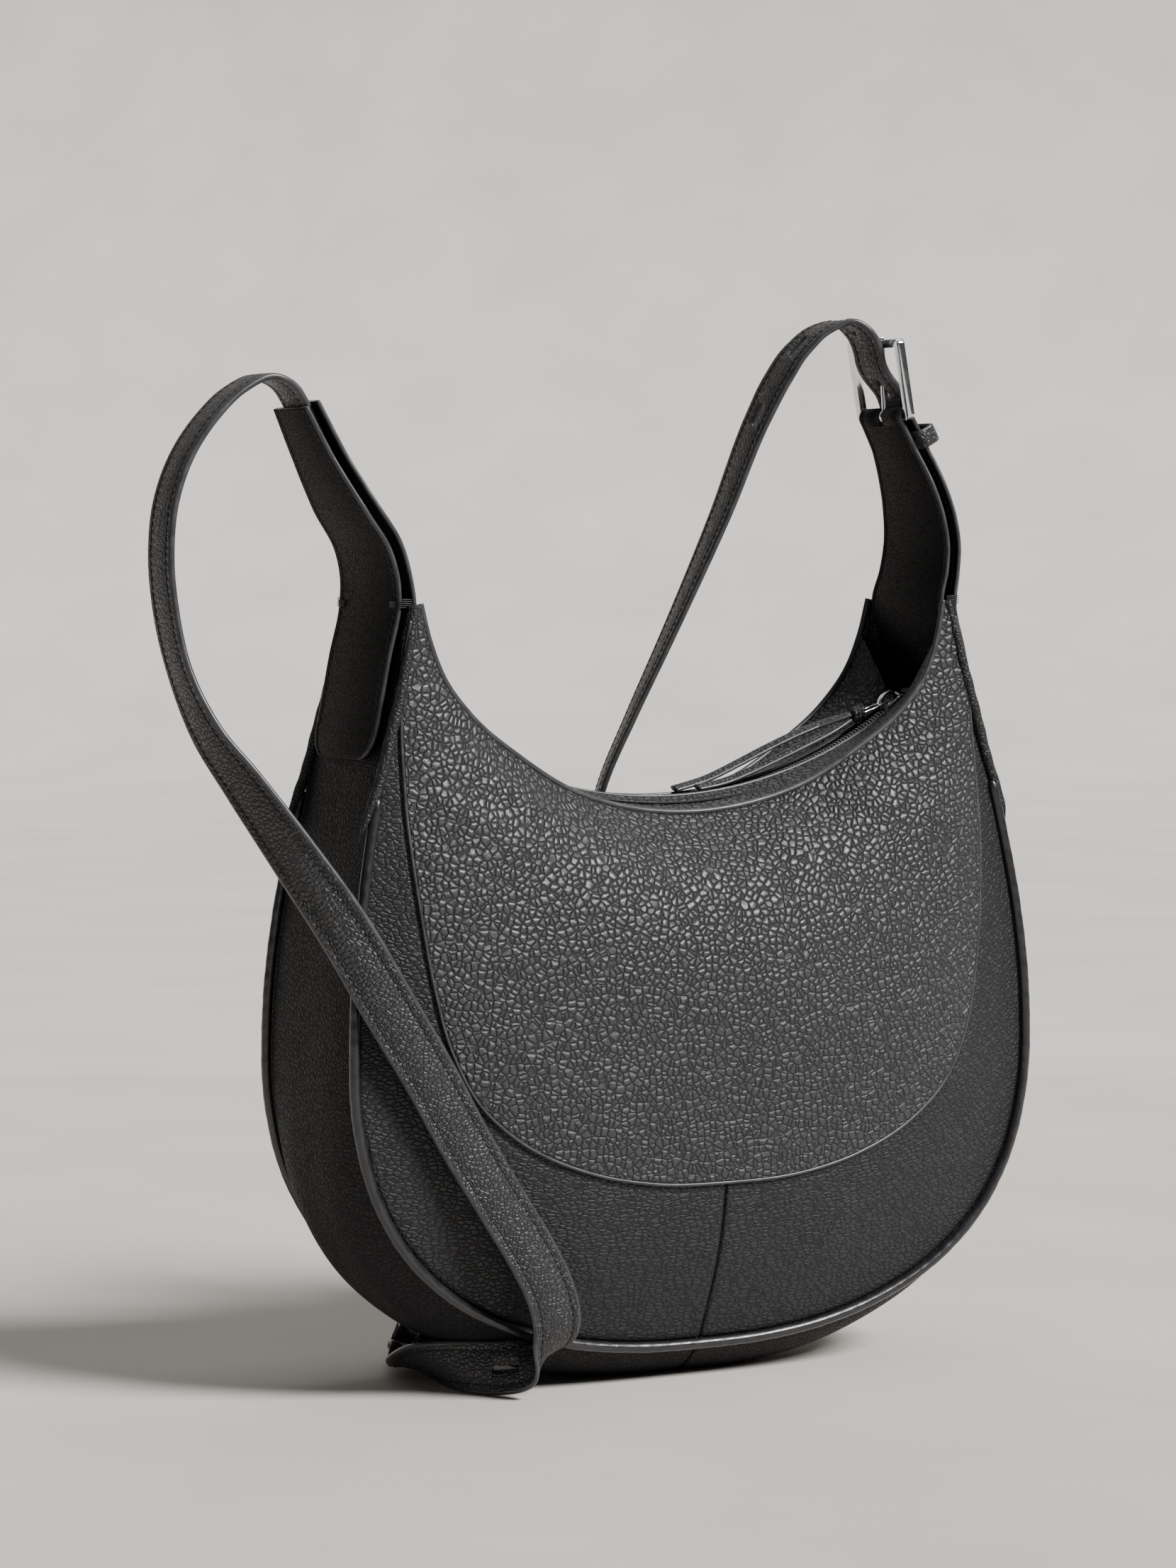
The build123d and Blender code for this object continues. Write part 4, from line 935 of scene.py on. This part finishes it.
def bar_tack_threads():
    """Thread wound through the tabs at the shoulder points."""
    tracks = []
    for side in (1, -1):
        x = side * (128.5 + 4.0)
        for y in (-23, 23):
            for k in range(6):
                z = 317.0 + 0.42 * k
                line = np.array([(x, y - 3.3, z), (x + side * 0.25, y, z + 0.1), (x, y + 3.3, z)])
                tracks.append((line, np.tile([float(side), 0, 0], (3, 1))))
        for y in (-27.6, 27.6):
            for k in range(5):
                z = 316.4 + 0.8 * k
                line = np.array([(side * 124.5, y, z), (side * 129.5, y * 1.008, z + 0.5), (side * 134, y, z)])
                tracks.append((line, np.tile([0, float(np.sign(y)), 0], (3, 1))))
    piece = stitches("bar_tack_threads", tracks, pitch=6.0, length=6.8, half_width=0.28, rise=0.28)
    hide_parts("bar_tacks")


# ---------------------------------------------------------------- puller
def puller():
    """Leather knot and its two strands; the link and slider keep their frame shapes."""
    low, high = (np.array(corner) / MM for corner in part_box("pull_knot"))
    middle = (low + high) / 2
    verts, faces = [], []
    rows = 40
    for tilt, push in ((0.5, -1.7), (0.35, 0.0), (0.6, 1.7)):
        start = len(verts)
        for t in np.linspace(0, 2 * pi, rows, endpoint=False):
            outward = np.array([0.94 * cos(t) * 0.35, cos(t) * 0.9, sin(t)])
            outward /= np.linalg.norm(outward)
            centre = middle + np.array([push - 0.8 * tilt * sin(t), 0, 0.3 * push]) + outward * 2.6
            for j in range(10):
                a = 2 * pi * j / 10
                verts.append(centre + outward * 1.15 * cos(a) + np.array([1.0, 0, 0.25]) * 1.15 * sin(a))
        faces += grid_faces(rows, 10, closed=True, start=start)
        for j in range(10):
            n = (j + 1) % 10
            faces.append((start + (rows - 1) * 10 + j, start + (rows - 1) * 10 + n, start + n, start + j))
    mesh_piece("pull_knot_leather", verts, faces, [STRAP], "tassel", ["pull_knot"])
    knot_end = (middle[0] - 3.6, middle[2] - 1.2)
    upper = [(knot_end[0], knot_end[1] + 0.9), (86, 266.5), (71, 261.5), (57, 256), (43, 250), (28, 244), (12, 240)]
    lower = [(knot_end[0], knot_end[1] - 0.9), (85, 262.6), (71, 256.8), (57, 251.2), (44, 246.3), (33, 242.8),
             (20, 240.6)]
    for name, route, y in (("upper", upper, 4.5), ("lower", lower, -1.0)):
        flat = curve(route, 90)
        drift = y * np.clip(np.linspace(0, 6, 90), 0, 1)
        line = np.stack([flat[:, 0], drift, flat[:, 1]], axis=1)
        width = 2.5 - 0.7 * np.exp(-np.linspace(0, 12, 90))
        across = np.tile([0.0, 1.0, 0.35], (90, 1))
        ribbon(f"pull_strand_{name}_leather", line, across, width, 1.5, STRAP, EDGE,
               [f"pull_strand_{name}"], body="tassel", crown=0.25)


# ---------------------------------------------------------------- camera, light and stage
def stage():
    """A floor, and behind a line across it a paler floor that curves up into the backdrop, clear of all cameras."""
    away = np.array([sin(radians(30)), cos(radians(30)), 0])
    along = np.array([away[1], -away[0], 0])
    turn = np.linspace(0, pi / 2, 24)
    sweep = [(COVE_START + COVE_RADIUS * sin(t), COVE_RADIUS * (1 - cos(t))) for t in turn]
    sheets = (("floor", [(-STAGE_REACH, 0), (FLOOR_LINE, 0)], (0.55, 0.52, 0.49)),
              ("backdrop", [(FLOOR_LINE, 0), *sweep, (sweep[-1][0], STAGE_REACH)], (0.59, 0.565, 0.54)))
    for name, profile, colour in sheets:
        verts = [away * u + along * v + np.array([0, 0, z]) for u, z in profile for v in (-STAGE_REACH, STAGE_REACH)]
        mesh = bpy.data.meshes.new(name)
        mesh.from_pydata([tuple(v) for v in verts], [], grid_faces(len(profile), 2))
        mesh.polygons.foreach_set("use_smooth", [True] * len(mesh.polygons))
        mesh.materials.append(plaster(f"{name}_plaster", colour, 6))
        sheet = bpy.data.objects.new(name, mesh)
        bpy.context.scene.collection.objects.link(sheet)


STAGE_REACH, FLOOR_LINE, COVE_START, COVE_RADIUS = 9.0, 1.03, 4.2, 2.0
CAMERA_DISTANCE, CAMERA_HEIGHT, CAMERA_PITCH, CAMERA_YAW = 1.897, 0.342, radians(3.0), radians(0.83)


def camera():
    data = bpy.data.cameras.new("camera")
    data.sensor_fit = "HORIZONTAL"
    data.sensor_width = 36
    data.lens = 140.2
    eye = bpy.data.objects.new("camera", data)
    bpy.context.scene.collection.objects.link(eye)
    azimuth = radians(-30)
    eye.location = (CAMERA_DISTANCE * sin(azimuth), -CAMERA_DISTANCE * cos(azimuth), CAMERA_HEIGHT)
    eye.rotation_euler = (radians(90) - CAMERA_PITCH, 0, azimuth + CAMERA_YAW)
    bpy.context.scene.camera = eye


def area_light(name, place, target, size, power, colour=(1, 1, 1)):
    data = bpy.data.lights.new(name, "AREA")
    data.shape = "RECTANGLE"
    data.size, data.size_y = size
    data.energy = power
    data.color = colour
    lamp = bpy.data.objects.new(name, data)
    bpy.context.scene.collection.objects.link(lamp)
    lamp.location = place
    lamp.rotation_euler = (Vector(target) - Vector(place)).to_track_quat("-Z", "Y").to_euler()


def lights():
    key = bpy.data.lights.new("key", "SUN")
    key.energy = 6.9
    key.angle = radians(19)
    key.color = (1, 0.99, 0.97)
    lamp = bpy.data.objects.new("key", key)
    bpy.context.scene.collection.objects.link(lamp)
    lamp.rotation_euler = Vector((-0.9, 1.5, -1.55)).to_track_quat("-Z", "Y").to_euler()
    area_light("overhead", (0.5, 0.35, 2.3), (0.25, 0.3, 0), (1.4, 1.4), 12)
    world = bpy.data.worlds.new("studio")
    world.use_nodes = True
    world.node_tree.nodes["Background"].inputs["Color"].default_value = (0.9, 0.92, 0.95, 1)
    world.node_tree.nodes["Background"].inputs["Strength"].default_value = 0.09
    bpy.context.scene.world = world


# ---------------------------------------------------------------- build
camera()
lights()
stage()
for label, side in (("front", FRONT), ("back", BACK)):
    centre_panel(side, label)
    band(side, label)
    trims(side, label)
gusset()
lining()
zip_top()
tabs()
strap()
keeper()
bar_tack_threads()
puller()
bevelled("buckle_frame", "buckle_frame_rounded", 0.55, CHROME, "buckle")
bevelled("buckle_prong", "buckle_prong_rounded", 0.4, CHROME, "prong")
bevelled("zip_slider", "zip_slider_rounded", 0.3, CHROME, "slider")
for node, material in (("buckle_heel_bar", CHROME), ("pull_link", CHROME), ("zip_top_stop", TEETH),
                       ("zip_bottom_stop", TEETH), ("base_board", BOARD)):
    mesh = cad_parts[node].data
    mesh.materials.clear()
    mesh.materials.append(material)
